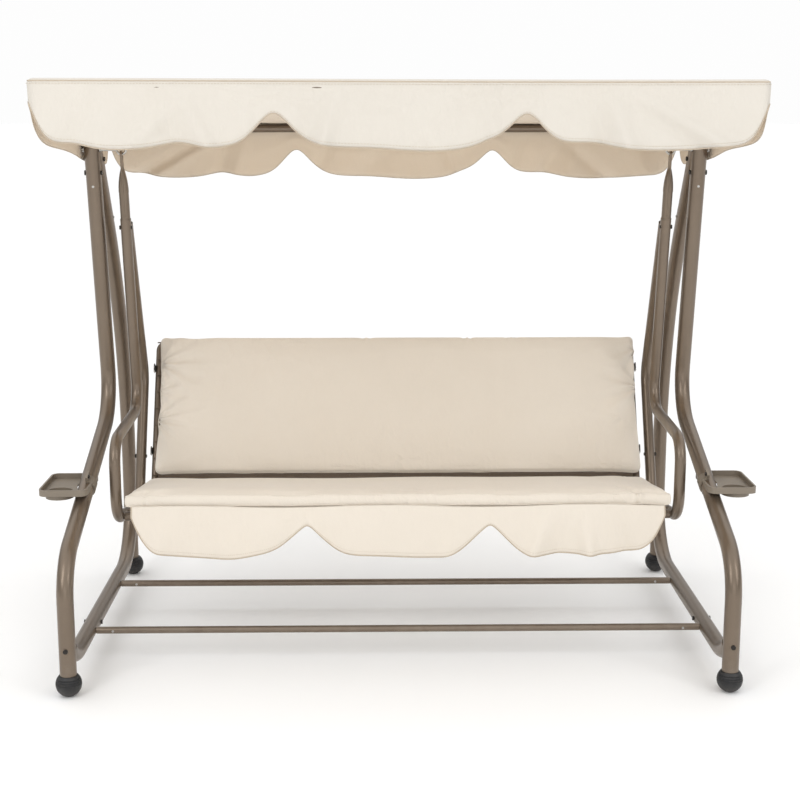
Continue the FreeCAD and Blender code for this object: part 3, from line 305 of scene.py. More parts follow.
# ---- mesh helpers
def newPiece(name, vertices, faces, material, flat=None, smooth=True):
    mesh = bpy.data.meshes.new(name)
    mesh.from_pydata([tuple(v) for v in vertices], [], faces)
    piece = bpy.data.objects.new(name, mesh)
    bpy.context.scene.collection.objects.link(piece)
    mesh.materials.append(material)
    if flat is not None:
        setCloth(piece, flat)
    for polygon in mesh.polygons:
        polygon.use_smooth = smooth
    return piece


def setCloth(piece, flat):
    # flat holds each point's place on the cut cloth, in metres
    layer = piece.data.attributes.get("cloth") or piece.data.attributes.new("cloth", "FLOAT_VECTOR", "POINT")
    layer.data.foreach_set("vector", np.asarray(flat, np.float32).ravel())


def settle(piece):
    # modifiers become plain mesh
    bpy.context.view_layer.update()
    evaluated = piece.evaluated_get(bpy.context.evaluated_depsgraph_get())
    mesh = bpy.data.meshes.new_from_object(evaluated)
    piece.modifiers.clear()
    piece.data = mesh
    for polygon in mesh.polygons:
        polygon.use_smooth = True
    return piece


def points(piece):
    co = np.zeros(len(piece.data.vertices) * 3)
    piece.data.vertices.foreach_get("co", co)
    return co.reshape(-1, 3)


def setPoints(piece, co):
    piece.data.vertices.foreach_set("co", np.asarray(co, np.float32).ravel())
    piece.data.update()


def smoothStep(x):
    x = np.clip(x, 0, 1)
    return x * x * (3 - 2 * x)


def unturned(node, degrees):
    # length, thickness and centre of a slab whose box in Y and Z is that of a slab turned by degrees
    low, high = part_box(node)
    deep, tall = high.y - low.y, high.z - low.z
    c, s = math.cos(math.radians(degrees)), math.sin(math.radians(degrees))
    length = (deep * c - tall * s) / (c * c - s * s)
    thick = (tall * c - deep * s) / (c * c - s * s)
    return length, thick, (low + high) / 2


# ---- Geometry Nodes: seams, stitches and bindings that follow a path
class Growth:
    # a node tree that turns a path into a mesh
    def __init__(self, name, inputs):
        self.tree = bpy.data.node_groups.new(name, "GeometryNodeTree")
        self.names = {}
        face = self.tree.interface
        face.new_socket("Geometry", in_out="INPUT", socket_type="NodeSocketGeometry")
        for label, kind, value in inputs:
            made = face.new_socket(label, in_out="INPUT", socket_type=kind)
            if value is not None:
                made.default_value = value
            self.names[label] = made.identifier
        face.new_socket("Geometry", in_out="OUTPUT", socket_type="NodeSocketGeometry")
        self.source = self.tree.nodes.new("NodeGroupInput")

    def input(self, label):
        return self.source.outputs[label]

    def node(self, kind, settings=None, sockets=None):
        made = self.tree.nodes.new(kind)
        for key, value in (settings or {}).items():
            setattr(made, key, value)
        for key, value in (sockets or {}).items():
            if isinstance(value, bpy.types.NodeSocket):
                self.tree.links.new(value, made.inputs[key])
            else:
                made.inputs[key].default_value = value
        return made

    def close(self, geometry):
        whole = self.node("GeometryNodeRealizeInstances", None, {"Geometry": geometry})
        painted = self.node("GeometryNodeSetMaterial", None,
                            {"Geometry": whole.outputs[0], "Material": self.input("Material")})
        sink = self.tree.nodes.new("NodeGroupOutput")
        self.tree.links.new(painted.outputs[0], sink.inputs[0])


def makeStitchTree():
    grow = Growth("stitchRow", [("Pitch", "NodeSocketFloat", 7 * mm), ("Length", "NodeSocketFloat", 4.5 * mm),
                                ("Thickness", "NodeSocketFloat", 0.9 * mm),
                                ("Material", "NodeSocketMaterial", None)])
    row = grow.node("GeometryNodeResampleCurve", {"mode": "LENGTH"},
                    {"Curve": grow.input("Geometry"), "Length": grow.input("Pitch")})
    thread = grow.node("GeometryNodeMeshCylinder", None,
                       {"Vertices": 6, "Radius": grow.input("Thickness"), "Depth": grow.input("Length")})
    tangent = grow.node("GeometryNodeInputTangent")
    turn = grow.node("FunctionNodeAlignRotationToVector", {"axis": "Z"}, {"Vector": tangent.outputs[0]})
    placed = grow.node("GeometryNodeInstanceOnPoints", None,
                       {"Points": row.outputs[0], "Instance": thread.outputs[0], "Rotation": turn.outputs[0]})
    grow.close(placed.outputs[0])
    return grow


def makeCordingTree():
    grow = Growth("seamCording", [("Step", "NodeSocketFloat", 6 * mm), ("Radius", "NodeSocketFloat", 2 * mm),
                                  ("Material", "NodeSocketMaterial", None)])
    path = grow.node("GeometryNodeResampleCurve", {"mode": "LENGTH"},
                     {"Curve": grow.input("Geometry"), "Length": grow.input("Step")})
    ring = grow.node("GeometryNodeCurvePrimitiveCircle", {"mode": "RADIUS"},
                     {"Resolution": 8, "Radius": grow.input("Radius")})
    tube = grow.node("GeometryNodeCurveToMesh", None,
                     {"Curve": path.outputs[0], "Profile Curve": ring.outputs[0], "Fill Caps": True})
    soft = grow.node("GeometryNodeSetShadeSmooth", None, {"Geometry": tube.outputs[0]})
    grow.close(soft.outputs[0])
    return grow


stitchTree = makeStitchTree()
cordingTree = makeCordingTree()


def growAlong(name, paths, grow, values, material, closed=False):
    # one mesh from every path, made by the tree and then kept plain
    curve = bpy.data.curves.new(name + "Path", "CURVE")
    curve.dimensions = "3D"
    for path in paths:
        line = curve.splines.new("POLY")
        line.points.add(len(path) - 1)
        for point, place in zip(line.points, path):
            point.co = (*place, 1)
        line.use_cyclic_u = closed
    source = bpy.data.objects.new(name + "Path", curve)
    bpy.context.scene.collection.objects.link(source)
    made = source.modifiers.new("grow", "NODES")
    made.node_group = grow.tree
    for label, value in {**values, "Material": material}.items():
        made[grow.names[label]] = value
    bpy.context.view_layer.update()
    evaluated = source.evaluated_get(bpy.context.evaluated_depsgraph_get())
    mesh = bpy.data.meshes.new_from_object(evaluated)
    bpy.data.objects.remove(source)
    piece = bpy.data.objects.new(name, mesh)
    bpy.context.scene.collection.objects.link(piece)
    co = points(piece)
    setCloth(piece, co)
    return piece


# ---- padded covers
cushionLook = {"voxel": 9 * mm, "edge": 16 * mm, "pressure": 4.0, "frames": 20, "shrink": 6 * mm,
               "rim": 0.045, "rimFade": 0.035, "seamWidth": 0.0045, "frontReach": 0.030, "frontFade": 0.022,
               "flareReach": 0.12}


def roundedSlab(size, radius):
    mesh = bmesh.new()
    bmesh.ops.create_cube(mesh, size=1)
    bmesh.ops.scale(mesh, vec=size, verts=mesh.verts)
    bmesh.ops.bevel(mesh, geom=mesh.edges[:], offset=radius, segments=4, affect="EDGES", profile=0.5)
    return mesh


def puffUp(piece, cap, pressure):
    # the cover is blown out a little by its filling, and no point moves further than cap
    rest = points(piece)
    cloth = piece.modifiers.new("filling", "CLOTH")
    cloth.settings.quality = 5
    cloth.settings.mass = 0.3
    cloth.settings.tension_stiffness = 18
    cloth.settings.compression_stiffness = 18
    cloth.settings.shear_stiffness = 8
    cloth.settings.bending_stiffness = 0.4
    cloth.settings.use_pressure = True
    cloth.settings.uniform_pressure_force = pressure
    cloth.settings.effector_weights.gravity = 0
    cloth.collision_settings.use_collision = False
    cloth.point_cache.frame_start = 1
    cloth.point_cache.frame_end = cushionLook["frames"]
    for step in range(1, cushionLook["frames"] + 1):
        bpy.context.scene.frame_set(step)
    evaluated = piece.evaluated_get(bpy.context.evaluated_depsgraph_get())
    moved = np.zeros(len(rest) * 3)
    evaluated.data.vertices.foreach_get("co", moved)
    moved = moved.reshape(-1, 3)
    piece.modifiers.clear()
    bpy.context.scene.frame_set(1)
    way = moved - rest
    far = np.linalg.norm(way, axis=1, keepdims=True)
    setPoints(piece, rest + way * np.minimum(1, cap / np.maximum(far, 1e-9)))


def makeCover(name, size, look, flare=0.0, aside=0.0):
    # size is (width, depth, thickness), drawn flat about the origin with +Z the side that shows
    shrink = cushionLook["shrink"]
    mesh = roundedSlab((size[0] - shrink, size[1] - shrink, size[2] - shrink), cushionLook["edge"])
    piece = newPiece(name, [], [], finishes["cream_fabric"])
    mesh.to_mesh(piece.data)
    mesh.free()
    piece.data.materials.clear()
    piece.data.materials.append(finishes["cream_fabric"])
    remesh = piece.modifiers.new("evenCloth", "REMESH")
    remesh.mode = "VOXEL"
    remesh.voxel_size = cushionLook["voxel"]
    settle(piece)
    puffUp(piece, look["cap"], cushionLook["pressure"])
    finer = piece.modifiers.new("finer", "SUBSURF")
    finer.levels = 1
    finer.render_levels = 1
    settle(piece)
    co = points(piece)
    normals = np.zeros(len(co) * 3)
    piece.data.vertices.foreach_get("normal", normals)
    normals = normals.reshape(-1, 3)
    half = np.array(size) / 2
    inEdge = np.maximum(np.abs(co[:, 0]) - half[0], np.abs(co[:, 1]) - half[1])
    rim = smoothStep((inEdge + cushionLook["rim"]) / cushionLook["rimFade"])
    push = np.zeros(len(co))
    for level in look["seams"]:
        wander = 0.0025 * np.sin(co[:, 0] * 11 + level * 90) + 0.0015 * np.sin(co[:, 0] * 29 + 1.3)
        near = np.exp(-((co[:, 2] - level - wander) / cushionLook["seamWidth"]) ** 2)
        push -= look["seamDepth"] * near * rim
    for x, y, reach, angle, count, depth in look["folds"]:
        # short pleats that fan out from a pulled point
        dx, dy = co[:, 0] - x, co[:, 1] - y
        distance = np.hypot(dx, dy)
        turn = np.arctan2(dy, dx) - math.radians(angle)
        turn = (turn + math.pi) % (2 * math.pi) - math.pi
        inside = np.exp(-(distance / reach) ** 2) * np.exp(-(turn / 1.0) ** 2) * smoothStep(distance / 0.02)
        push += depth * np.cos(turn * count) * inside
        push -= depth * 0.8 * np.exp(-(distance / (reach * 0.7)) ** 2)
    broad = 0.6 * np.sin(co[:, 0] * 4.1 + 0.7) * np.sin(co[:, 1] * 9 + co[:, 0] * 2.0)
    broad += 0.3 * np.sin(co[:, 0] * 13.0 + co[:, 1] * 6)
    broad += 0.35 * np.sin(co[:, 0] * 21.0 - co[:, 1] * 9 + 2) * smoothStep(-co[:, 1] / half[1] * 1.2)
    broad *= look["swell"]
    push += broad * (1 - rim)
    co = co + normals * push[:, None]
    # the front corners spread sideways by flare
    ahead = smoothStep((cushionLook["frontReach"] - half[1] - co[:, 1]) / cushionLook["frontFade"])
    reach = cushionLook["flareReach"]
    co[:, 0] += np.sign(co[:, 0]) * flare * ahead * smoothStep((np.abs(co[:, 0]) - half[0] + reach) / reach)
    co[:, 2] = np.maximum(co[:, 2], -half[2])
    limit = half + np.array([5 * mm + flare, 5 * mm, 6 * mm])
    co = np.clip(co, -limit, limit)
    co[:, 0] += aside
    setPoints(piece, co)
    wrap = co[:, 1] + np.where(np.abs(co[:, 2]) < half[2] * 0.9, co[:, 2] * 0.999, 0)
    setCloth(piece, np.stack([co[:, 0] + co[:, 2] * 0.3, wrap, co[:, 2] * 0], 1))
    return piece


def ringOn(piece, size, level, wander, inset=0.0, step=6 * mm):
    # a closed line round a cover at one level, laid on the cloth
    half = np.array(size) / 2
    tree = BVHTree.FromObject(piece, bpy.context.evaluated_depsgraph_get())
    corner = 22 * mm
    path = []
    straight = [(half[0] - corner, half[1] - corner, 0), (-half[0] + corner, half[1] - corner, 90),
                (-half[0] + corner, -half[1] + corner, 180), (half[0] - corner, -half[1] + corner, 270)]
    outline = []
    for x, y, start in straight:
        for k in range(6):
            a = math.radians(start + 90 * k / 5)
            outline.append(Vector((x + corner * math.cos(a), y + corner * math.sin(a), 0)))
    for a, b in zip(outline, outline[1:] + outline[:1]):
        count = max(1, int((b - a).length / step))
        for k in range(count):
            place = a.lerp(b, k / count) * 1.004
            place.z = level + wander * math.sin(place.x * 11) + wander * 0.5 * math.sin(place.x * 31 + 1)
            found, normal, index, far = tree.find_nearest(place)
            path.append(found + normal * inset)
    return path


def lay(piece, degrees, centre):
    # a flat drawing goes to its place: turned about X, then moved
    matrix = Matrix.Translation(centre) @ Matrix.Rotation(math.radians(degrees), 4, "X")
    piece.data.transform(matrix)
    piece.data.update()
    return piece


seatPad = {"slope": 8.2, "cap": 8 * mm, "swell": 3 * mm, "flare": 13 * mm,
           "seams": (23 * mm, -22 * mm), "seamDepth": 3.5 * mm,
           "folds": [(0.69, -0.20, 0.10, 150, 9, 4 * mm), (-0.72, -0.20, 0.08, 40, 8, 2.5 * mm),
                     (0.60, -0.235, 0.06, 110, 6, 3 * mm), (0.70, 0.16, 0.06, 200, 7, 2.5 * mm)]}


def makeSeatPad():
    length, thick, centre = unturned("seat_cushion", seatPad["slope"])
    low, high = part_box("seat_cushion")
    size = (high.x - low.x, length, thick)
    pad = makeCover("seatPad", size, seatPad, flare=seatPad["flare"])
    lines = [ringOn(pad, size, level, 2.5 * mm, 0.4 * mm) for level in seatPad["seams"]]
    welt = growAlong("seatPadSeam", lines, cordingTree, {"Step": 6 * mm, "Radius": 1.5 * mm},
                     finishes["cream_fabric"], closed=True)
    for piece in (pad, welt):
        lay(piece, -seatPad["slope"], centre)
        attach(piece, "swing")
    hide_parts("seat_cushion")
    return pad


backPad = {"recline": 27.0, "cap": 10 * mm, "swell": 4.5 * mm, "aside": 7 * mm,
           "seams": (0.0,), "seamDepth": 3 * mm,
           "folds": [(-0.755, 0.13, 0.17, -8, 12, 6 * mm), (-0.765, -0.05, 0.15, 0, 13, 7 * mm),
                     (-0.76, 0.04, 0.11, 5, 10, 4 * mm), (0.765, 0.05, 0.15, 180, 9, 6 * mm),
                     (0.765, 0.18, 0.10, 215, 8, 5 * mm), (0.70, -0.05, 0.16, 200, 4, 4 * mm),
                     (0.22, 0.232, 0.04, 270, 6, 4 * mm), (0.36, 0.232, 0.03, 270, 5, 4 * mm),
                     (-0.10, 0.232, 0.04, 270, 5, 2.5 * mm)]}


def makeBackPad():
    # lying flat its length runs along Y, so standing up it is turned by 90 degrees less the recline
    turn = 90 - backPad["recline"]
    thick, length, centre = unturned("back_cushion", backPad["recline"])
    low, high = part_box("back_cushion")
    size = (high.x - low.x, length, thick)
    pad = makeCover("backPad", size, backPad, aside=backPad["aside"])
    lines = [ringOn(pad, size, level, 2 * mm, 0.3 * mm) for level in backPad["seams"]]
    welt = growAlong("backPadSeam", lines, cordingTree, {"Step": 6 * mm, "Radius": 1.6 * mm},
                     finishes["cream_fabric"], closed=True)
    for piece in (pad, welt):
        lay(piece, turn, centre)
        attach(piece, "backrest")
    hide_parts("back_cushion")
    return pad


seatPiece = makeSeatPad()
backPiece = makeBackPad()
print("padded covers:", len(seatPiece.data.polygons), len(backPiece.data.polygons))


# ---- scalloped cloth
def hemDepth(away, notch, drop, slope, corner, bow=0.0):
    # depth of the hem at a distance from the nearest notch, whose tip is bowed
    rise = drop - notch
    run = (math.hypot(away, bow) - bow) * slope / rise
    return notch + rise * run / (1 + run ** corner) ** (1 / corner)


def scallops(x, half, count, look):
    # depth of the hem at x on a flap of that half width
    step = 2 * half / count
    lean = look["shift"] * math.sin(math.pi * x / half)
    place = min(max((x + lean + half) / step, 0), count)
    left, right = math.floor(place), math.ceil(place)
    toLeft, toRight = (place - left) * step, (right - place) * step
    depth = look["drop"]
    for away, index in ((toLeft, left), (toRight, right)):
        ends = index in (0, count)
        notch = look["endNotch"] if ends else look["notch"]
        slope = look["endSlope"] if ends else look["slope"]
        bow = 0 if ends else look["bow"]
        corner = look["endCorner"] if ends else look["corner"]
        depth = min(depth, hemDepth(away, notch, look["drop"], slope, corner, bow))
    ripple = 3 * mm * math.sin(x * 9 + 0.6) + 2 * mm * math.sin(x * 23)
    for at, width, lift in look["hemLifts"]:
        ripple -= lift * math.exp(-((x - at * half) / width) ** 2)
    return depth + ripple * min(1, min(toLeft, toRight) / 0.1)


seatFlap = {"columns": 300, "rows": 26, "lift": 12 * mm, "drop": 134 * mm, "notch": 42 * mm,
            "endNotch": 16 * mm, "slope": 1.05, "endSlope": 2.6, "corner": 5, "endCorner": 2.0,
            "thickness": 1.2 * mm, "shift": -8 * mm, "bow": 10 * mm, "fullness": 1.3,
            "hemLifts": [(0.86, 0.10, 4 * mm), (-0.5, 0.08, 5 * mm), (0.05, 0.12, 4 * mm),
                         (0.52, 0.08, -3 * mm)],
            "folds": [(0.72, 0.026, 24 * mm, -0.02), (0.60, 0.03, -12 * mm, 0.03),
                      (0.50, 0.024, 14 * mm, 0.05), (-0.26, 0.018, 14 * mm, -0.06),
                      (-0.92, 0.03, 12 * mm, 0.04), (0.86, 0.03, -14 * mm, -0.04),
                      (0.18, 0.03, 9 * mm, 0.05), (-0.62, 0.05, 9 * mm, -0.08),
                      (-0.45, 0.03, -7 * mm, 0.06)]}


def ripples(x, low, half, folds):
    # how far the cloth stands out at x, low down (1) or at the top (0)
    out = 0.0
    for place, width, depth, skew in folds:
        out += depth * math.exp(-((x - place * half - skew * (1 - low)) / width) ** 2) * low ** 1.1
    out += low * (3 * mm * math.sin(x * 8 + 1) + 2 * mm * math.sin(x * 17 + 2.2))
    return out


def makeSeatFlap():
    low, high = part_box("seat_valance")
    half = (high.x - low.x) / 2
    top, front = high.z, low.y
    vertices, flat = [], []
    columns, rows = seatFlap["columns"], seatFlap["rows"]
    for i in range(columns + 1):
        x = -half + 2 * half * i / columns
        depth = scallops(x, half, 3, seatFlap)
        for j in range(rows + 1):
            share = j / rows
            down = depth * share
            y = front - seatFlap["fullness"] * ripples(x, down / seatFlap["drop"], half, seatFlap["folds"])
            lift = seatFlap["lift"] + 3 * mm * math.sin(x * 11 + 2)
            vertices.append((x, y + 9 * mm * (1 - share) ** 2, top - down + lift * (1 - share)))
            flat.append((x, down, 0))
    faces = []
    for i in range(columns):
        for j in range(rows):
            a = i * (rows + 1) + j
            faces.append((a, a + 1, a + rows + 2, a + rows + 1))
    piece = newPiece("seatFlap", vertices, faces, finishes["cream_fabric"], flat)
    wall = piece.modifiers.new("thickness", "SOLIDIFY")
    wall.thickness = seatFlap["thickness"]
    wall.offset = -1
    settle(piece)
    hem = [Vector(vertices[i * (rows + 1) + rows]) for i in range(columns + 1)]
    left = [Vector(vertices[j]) for j in range(rows + 1)]
    right = [Vector(vertices[columns * (rows + 1) + j]) for j in range(rows + 1)]
    edge = left + hem + right[::-1]
    binding = growAlong("seatFlapBinding", [edge], cordingTree, {"Step": 4 * mm, "Radius": 1.7 * mm},
                        bindingAndShadeCordCloth)
    proud = Vector((0, -0.4 * mm, 0))
    inner = [Vector(vertices[i * (rows + 1) + rows - 2]) + proud for i in range(2, columns - 1)]
    stitches = growAlong("seatFlapStitches", [inner], stitchTree,
                         {"Pitch": 6 * mm, "Length": 3.8 * mm, "Thickness": 0.5 * mm}, threadCloth)
    for made in (piece, binding, stitches):
        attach(made, "swing")
    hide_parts("seat_valance")
    # laid flat, the cloth is as wide as it is along its folds, and reaches up behind the pad
    middle = [Vector(vertices[i * (rows + 1) + rows // 2]) for i in range(columns + 1)]
    width, area = 0.0, 0.0
    for i in range(columns):
        step = (middle[i + 1] - middle[i]).xy.length
        width += step
        depth = scallops(-half + 2 * half * (i + 0.5) / columns, half, 3, seatFlap)
        area += step * (depth + seatFlap["lift"])
    return piece


makeSeatFlap()

canopyLook = {"tilt": 6.2, "columns": 220, "deep": 110, "rows": 16, "round": 13 * mm, "sag": 10 * mm,
              "thickness": 1.3 * mm, "drop": 172 * mm, "notch": 84 * mm, "endNotch": 60 * mm, "slope": 1.35,
              "endSlope": 2.6, "corner": 2.6, "endCorner": 2.6, "sideDrop": 142 * mm, "shift": -10 * mm,
              "bow": 22 * mm, "fullness": 1.25, "railLift": 3 * mm, "swell": 2.2 * mm, "swellLength": 0.42,
              "hemLifts": [(-0.60, 0.06, 16 * mm), (-0.42, 0.04, -4 * mm), (0.26, 0.05, 11 * mm),
                           (0.52, 0.06, 9 * mm), (0.90, 0.07, 7 * mm), (-0.88, 0.05, 8 * mm)],
              "folds": [(-0.62, 0.024, 20 * mm, 0.05), (-0.56, 0.02, -14 * mm, 0.05),
                        (0.22, 0.022, 18 * mm, -0.06), (0.27, 0.03, -12 * mm, -0.05),
                        (0.52, 0.025, 16 * mm, 0.08), (0.60, 0.03, -12 * mm, 0.06),
                        (-0.9, 0.035, 16 * mm, 0.30), (-0.84, 0.03, -10 * mm, 0.30),
                        (0.9, 0.04, -14 * mm, -0.1), (-0.12, 0.05, 12 * mm, 0.15),
                        (-0.28, 0.02, 12 * mm, 0.08), (0.40, 0.018, 12 * mm, 0.05),
                        (0.74, 0.03, 14 * mm, -0.2)]}


def makeCanopy():
    # one cloth: the roof over its rails, and the flaps that hang from all four edges
    length, thick, centre = unturned("canopy_roof", canopyLook["tilt"])
    low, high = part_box("canopy_roof")
    half = (high.x - low.x) / 2
    c, s = math.cos(math.radians(canopyLook["tilt"])), math.sin(math.radians(canopyLook["tilt"]))
    along, up, acrossX = Vector((0, c, -s)), Vector((0, s, c)), Vector((1, 0, 0))
    curve = canopyLook["round"]
    columns, deep, rows = canopyLook["columns"], canopyLook["deep"], canopyLook["rows"]
    wide, long = half - curve, length / 2 - curve
    vertices, flat, index = [], [], {}

    def roofPoint(x, y):
        # the cloth sags a little between the rails and lifts over them
        a, b = x / wide, y / long
        sag = canopyLook["sag"] * (1 - a * a) * (1 - b ** 4)
        sag += 2.5 * mm * math.sin(x * 7 + y * 3) * (1 - a * a) * (1 - b * b)
        lift = canopyLook["railLift"] * (1 + 0.6 * math.sin(x * 2.2 + 3.6)) * abs(b) ** 6
        return centre + acrossX * x + along * y + up * (thick / 2 - sag + lift)

    def add(place, u, v):
        vertices.append(place)
        flat.append((u, v, 0))
        return len(vertices) - 1

    for i in range(columns + 1):
        for j in range(deep + 1):
            x, y = wide * (2 * i / columns - 1), long * (2 * j / deep - 1)
            index[i, j] = add(roofPoint(x, y), x, y)
    faces = []
    for i in range(columns):
        for j in range(deep):
            faces.append((index[i, j], index[i + 1, j], index[i + 1, j + 1], index[i, j + 1]))
    rim = [(i, 0) for i in range(columns)] + [(columns, j) for j in range(deep)]
    rim += [(i, deep) for i in range(columns, 0, -1)] + [(0, j) for j in range(deep, 0, -1)]
    rings = [[index[key] for key in rim]]
    lowest = canopyLook["drop"]
    depths, outs = [], []
    for i, j in rim:
        sideways = (-1 if i == 0 else 1) if i in (0, columns) else 0
        endways = (-1 if j == 0 else 1) if j in (0, deep) else 0
        x, y = wide * (2 * i / columns - 1), long * (2 * j / deep - 1)
        front = scallops(x, half, 3, canopyLook)
        away = long - abs(y)
        side = hemDepth(away, canopyLook["endNotch"], canopyLook["sideDrop"], 2.4, 2.0)
        side += 3 * mm * math.sin(y * 12) * min(1, away / 0.1)
        depths.append(front if endways and not sideways else side if sideways and not endways
                      else canopyLook["endNotch"])
        outs.append((sideways, endways))
    for step in range(1, rows + 4):
        ring = []
        for (i, j), depth, (sideways, endways) in zip(rim, depths, outs):
            base = Vector(vertices[index[i, j]])
            x, y = wide * (2 * i / columns - 1), long * (2 * j / deep - 1)
            outward = acrossX * sideways + Vector((0, 1, 0)) * endways
            if step <= 3:
                angle = math.pi / 2 * step / 3
                out, down = curve * math.sin(angle), curve * (1 - math.cos(angle))
            else:
                share = (step - 3) / rows
                down = curve + (depth - curve) * share
                lowness = down / lowest
                if endways and not sideways:
                    wave = canopyLook["fullness"] * ripples(x * endways, lowness, half, canopyLook["folds"])
                    wave *= min(1, (wide - abs(x)) / 0.05)
                    swell = math.sin(2 * math.pi * share / canopyLook["swellLength"]) * (1 - share)
                    wave -= canopyLook["swell"] * swell * (1 - (x / half) ** 2) ** 2
                else:
                    wave = lowness * 4 * mm * math.sin(y * 14 + sideways) * min(1, (long - abs(y)) / 0.05)
                out = curve + wave - 4 * mm * lowness
            place = base + outward * out - Vector((0, 0, down))
            ring.append(add(place, x + sideways * (out + down), y + endways * (out + down)))
        rings.append(ring)
    for above, below in zip(rings, rings[1:]):
        for k in range(len(above)):
            n = (k + 1) % len(above)
            faces.append((above[k], below[k], below[n], above[n]))
    piece = newPiece("canopyCloth", vertices, faces, finishes["canopy_fabric"], flat)
    # the inner shell takes the tan copy, which paints the glow through the cloth and the shade under the
    # canopy
    piece.data.materials.append(undersideGlowCloth)
    wall = piece.modifiers.new("thickness", "SOLIDIFY")
    wall.thickness = canopyLook["thickness"]
    wall.offset = -1
    wall.material_offset = 1
    settle(piece)
    hem = [Vector(vertices[k]) for k in rings[-1]]
    binding = growAlong("canopyBinding", [hem], cordingTree, {"Step": 5 * mm, "Radius": 1.6 * mm},
                        bindingAndShadeCordCloth, closed=True)
    # a seam cord round the roof's edge over the rail, made dark so that it also paints the shade of the fold
    # along the top edge
    seamAndShadeCord = growAlong("canopySeamAndShadeCord", [[Vector(vertices[k]) for k in rings[2]]], cordingTree,
                       {"Step": 5 * mm, "Radius": 1.7 * mm}, bindingAndShadeCordCloth, closed=True)
    stitchRows = []
    for ring, lift in ((rings[-2], 0.8 * mm), (rings[3], 0.5 * mm)):
        line = []
        for k, (sideways, endways) in zip(ring, outs):
            line.append(Vector(vertices[k]) + Vector((sideways, endways, 0)) * lift)
        stitchRows.append(line)
    stitches = growAlong("canopyStitches", stitchRows, stitchTree,
                         {"Pitch": 8 * mm, "Length": 5 * mm, "Thickness": 0.55 * mm}, threadCloth,
                         closed=True)
    for made in (piece, binding, seamAndShadeCord, stitches):
        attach(made, "canopy")
    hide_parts("canopy_roof", "canopy_valance_front", "canopy_valance_rear",
                "canopy_side_valance_left", "canopy_side_valance_right")
    flatWide = 2 * half + 2 * canopyLook["sideDrop"]
    flatLong = length + 2 * canopyLook["drop"]
    cut = 2 * half * length + sum(depths) / len(depths) * 2 * (2 * half + length)
    min(cut, flatWide * flatLong)
    return piece


canopyPiece = makeCanopy()
print("canopy cloth:", len(canopyPiece.data.polygons))


# ---- straps that tie the back cushion to its frame
strapLook = {"tubeRadius": 11.6 * mm, "width": 20 * mm, "thickness": 1.4 * mm, "tail": 22 * mm}


def strapCentres():
    # the middle of each tie's own solid
    co = points(nodes["cushion_straps"])
    middle = (co[:, 2].min() + co[:, 2].max()) / 2
    centres = []
    for side in (-1, 1):
        for upper in (False, True):
            mine = co[(co[:, 0] * side > 0) & ((co[:, 2] > middle) == upper)]
            centres.append((side, Vector((mine.min(0) + mine.max(0)) / 2)))
    return centres


def makeStraps():
    recline = math.radians(backPad["recline"])
    upBack = Vector((0, math.sin(recline), math.cos(recline)))
    forward = Vector((0, -math.cos(recline), math.sin(recline)))
    low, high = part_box("back_side_tube_right")
    tubeX = (low.x + high.x) / 2
    vertices, faces, flat = [], [], []
    for side, centre in strapCentres():
        outward = Vector((side, 0, 0))
        hub = Vector((side * tubeX, centre.y, centre.z))
        path = []
        reach = strapLook["tubeRadius"] + strapLook["thickness"] / 2
        for k in range(6):
            path.append((outward * reach, forward * (strapLook["tail"] * (1 - k / 6)), outward))
        for k in range(17):
            a = math.pi * k / 16
            way = outward * math.cos(a) - forward * math.sin(a)
            path.append((way * reach, Vector(), way))
        for k in range(1, 7):
            path.append((-outward * reach, forward * (strapLook["tail"] * 0.6 * k / 6), -outward))
        start = len(vertices)
        wide = 4
        for k, (out, ahead, normal) in enumerate(path):
            for face in (-1, 1):
                for w in range(wide + 1):
                    across = strapLook["width"] * (w / wide - 0.5)
                    proud = normal * (face * strapLook["thickness"] / 2)
                    vertices.append(hub + out + ahead + upBack * across + proud)
                    flat.append((across, k * 4 * mm, 0))
        ring = 2 * (wide + 1)
        order = list(range(wide + 1)) + [wide + 1 + w for w in range(wide, -1, -1)]
        for k in range(len(path) - 1):
            for m in range(ring):
                a, b = start + k * ring + order[m], start + k * ring + order[(m + 1) % ring]
                faces.append((a, b, b + ring, a + ring))
        faces.append(tuple(start + order[m] for m in reversed(range(ring))))
        faces.append(tuple(start + (len(path) - 1) * ring + order[m] for m in range(ring)))
    piece = newPiece("tieStraps", vertices, faces, finishes["black_webbing"], flat)
    mesh = bmesh.new()
    mesh.from_mesh(piece.data)
    bmesh.ops.recalc_face_normals(mesh, faces=mesh.faces)
    mesh.to_mesh(piece.data)
    mesh.free()
    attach(piece, "backrest")
    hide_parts("cushion_straps")


makeStraps()
print("straps made")

# ---- floor, light and camera
stageLook = {"floorSize": 400.0, "floorColour": (0.975, 0.975, 0.972), "worldColour": (1.0, 1.0, 1.0),
             "worldStrength": 0.985, "roomBright": 1.5, "roomDim": 0.36, "panelLow": 0.05, "panelHigh": 0.6}
panels = {"keyPanel": {"place": (-2.6, -3.6, 2.7), "aim": (0, 0, 0.7), "size": (1.2, 2.4), "power": 37},
          "fillPanel": {"place": (3.2, -3.0, 2.4), "aim": (0, 0, 0.7), "size": (1.0, 2.4), "power": 22},
          "frontPanel": {"place": (0.4, -5.4, 1.1), "aim": (0, 0, 0.8), "size": (3.0, 1.2), "power": 20}}
eyeLook = {"place": (-0.0655, -4.19, 1.527), "lens": 65.3, "sensor": 36, "down": 11.2, "aside": -1.0}


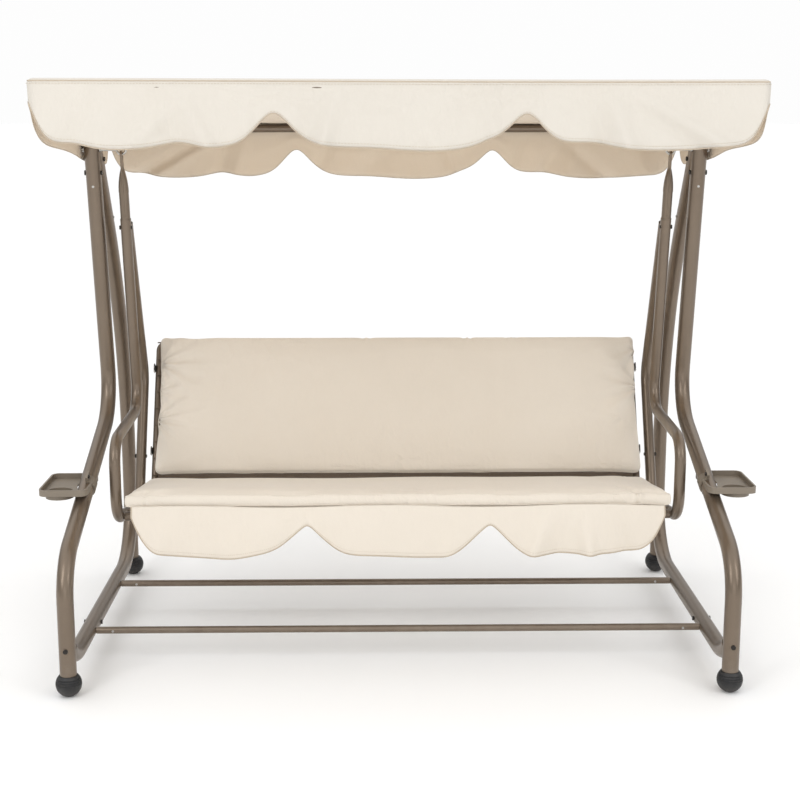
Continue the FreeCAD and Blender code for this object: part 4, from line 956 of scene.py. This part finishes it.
def makeStage():
    finish = Finish("paleFloor")
    cloud = finish.noise(finish.place(), 0.8, 3)
    shade = stageLook["floorColour"]
    colour = finish.mix(cloud, shade, tuple(c * 0.985 for c in shade))
    finish.feed(base_color=colour, roughness=(cloud * 0.05 + 0.75).clamp())
    s = stageLook["floorSize"] / 2
    floor = newPiece("floor", [(-s, -s, 0), (s, -s, 0), (s, s, 0), (-s, s, 0)], [(0, 1, 2, 3)],
                     finish.material, smooth=False)
    world = bpy.data.worlds.new("studio")
    bpy.context.scene.world = world
    world.use_nodes = True
    tree = world.node_tree
    # the eye sees a white backdrop; the light comes mostly from overhead, as under a big soft panel
    backdrop = tree.nodes["Background"]
    backdrop.inputs["Color"].default_value = (*stageLook["worldColour"], 1)
    backdrop.inputs["Strength"].default_value = stageLook["worldStrength"]
    room = tree.nodes.new("ShaderNodeBackground")
    ramp = tree.nodes.new("ShaderNodeMapRange")
    ramp.inputs["From Min"].default_value = stageLook["panelLow"]
    ramp.inputs["From Max"].default_value = stageLook["panelHigh"]
    ramp.inputs["To Min"].default_value = stageLook["roomDim"]
    ramp.inputs["To Max"].default_value = stageLook["roomBright"]
    split = tree.nodes.new("ShaderNodeSeparateXYZ")
    place = tree.nodes.new("ShaderNodeTexCoord")
    blend = tree.nodes.new("ShaderNodeMixShader")
    path = tree.nodes.new("ShaderNodeLightPath")
    tree.links.new(place.outputs["Generated"], split.inputs[0])
    tree.links.new(split.outputs[2], ramp.inputs["Value"])
    tree.links.new(ramp.outputs[0], room.inputs["Strength"])
    tree.links.new(path.outputs["Is Camera Ray"], blend.inputs[0])
    tree.links.new(room.outputs[0], blend.inputs[1])
    tree.links.new(backdrop.outputs[0], blend.inputs[2])
    tree.links.new(blend.outputs[0], tree.nodes["World Output"].inputs[0])


def makeLight(name, place, aim, size, power):
    lamp = bpy.data.lights.new(name, "AREA")
    lamp.shape = "RECTANGLE"
    lamp.size, lamp.size_y = size
    lamp.energy = power
    holder = bpy.data.objects.new(name, lamp)
    bpy.context.scene.collection.objects.link(holder)
    holder.location = place
    holder.rotation_euler = (Vector(aim) - Vector(place)).to_track_quat("-Z", "Y").to_euler()


def makeCamera():
    eye = bpy.data.cameras.new("eye")
    eye.lens = eyeLook["lens"]
    eye.sensor_width = eyeLook["sensor"]
    holder = bpy.data.objects.new("eye", eye)
    bpy.context.scene.collection.objects.link(holder)
    holder.location = eyeLook["place"]
    holder.rotation_euler = (math.radians(90 - eyeLook["down"]), 0, math.radians(eyeLook["aside"]))
    bpy.context.scene.camera = holder


makeStage()
for name, panel in panels.items():
    makeLight(name, **panel)
makeCamera()
bpy.context.scene.view_settings.view_transform = "Standard"
print("scene ready")
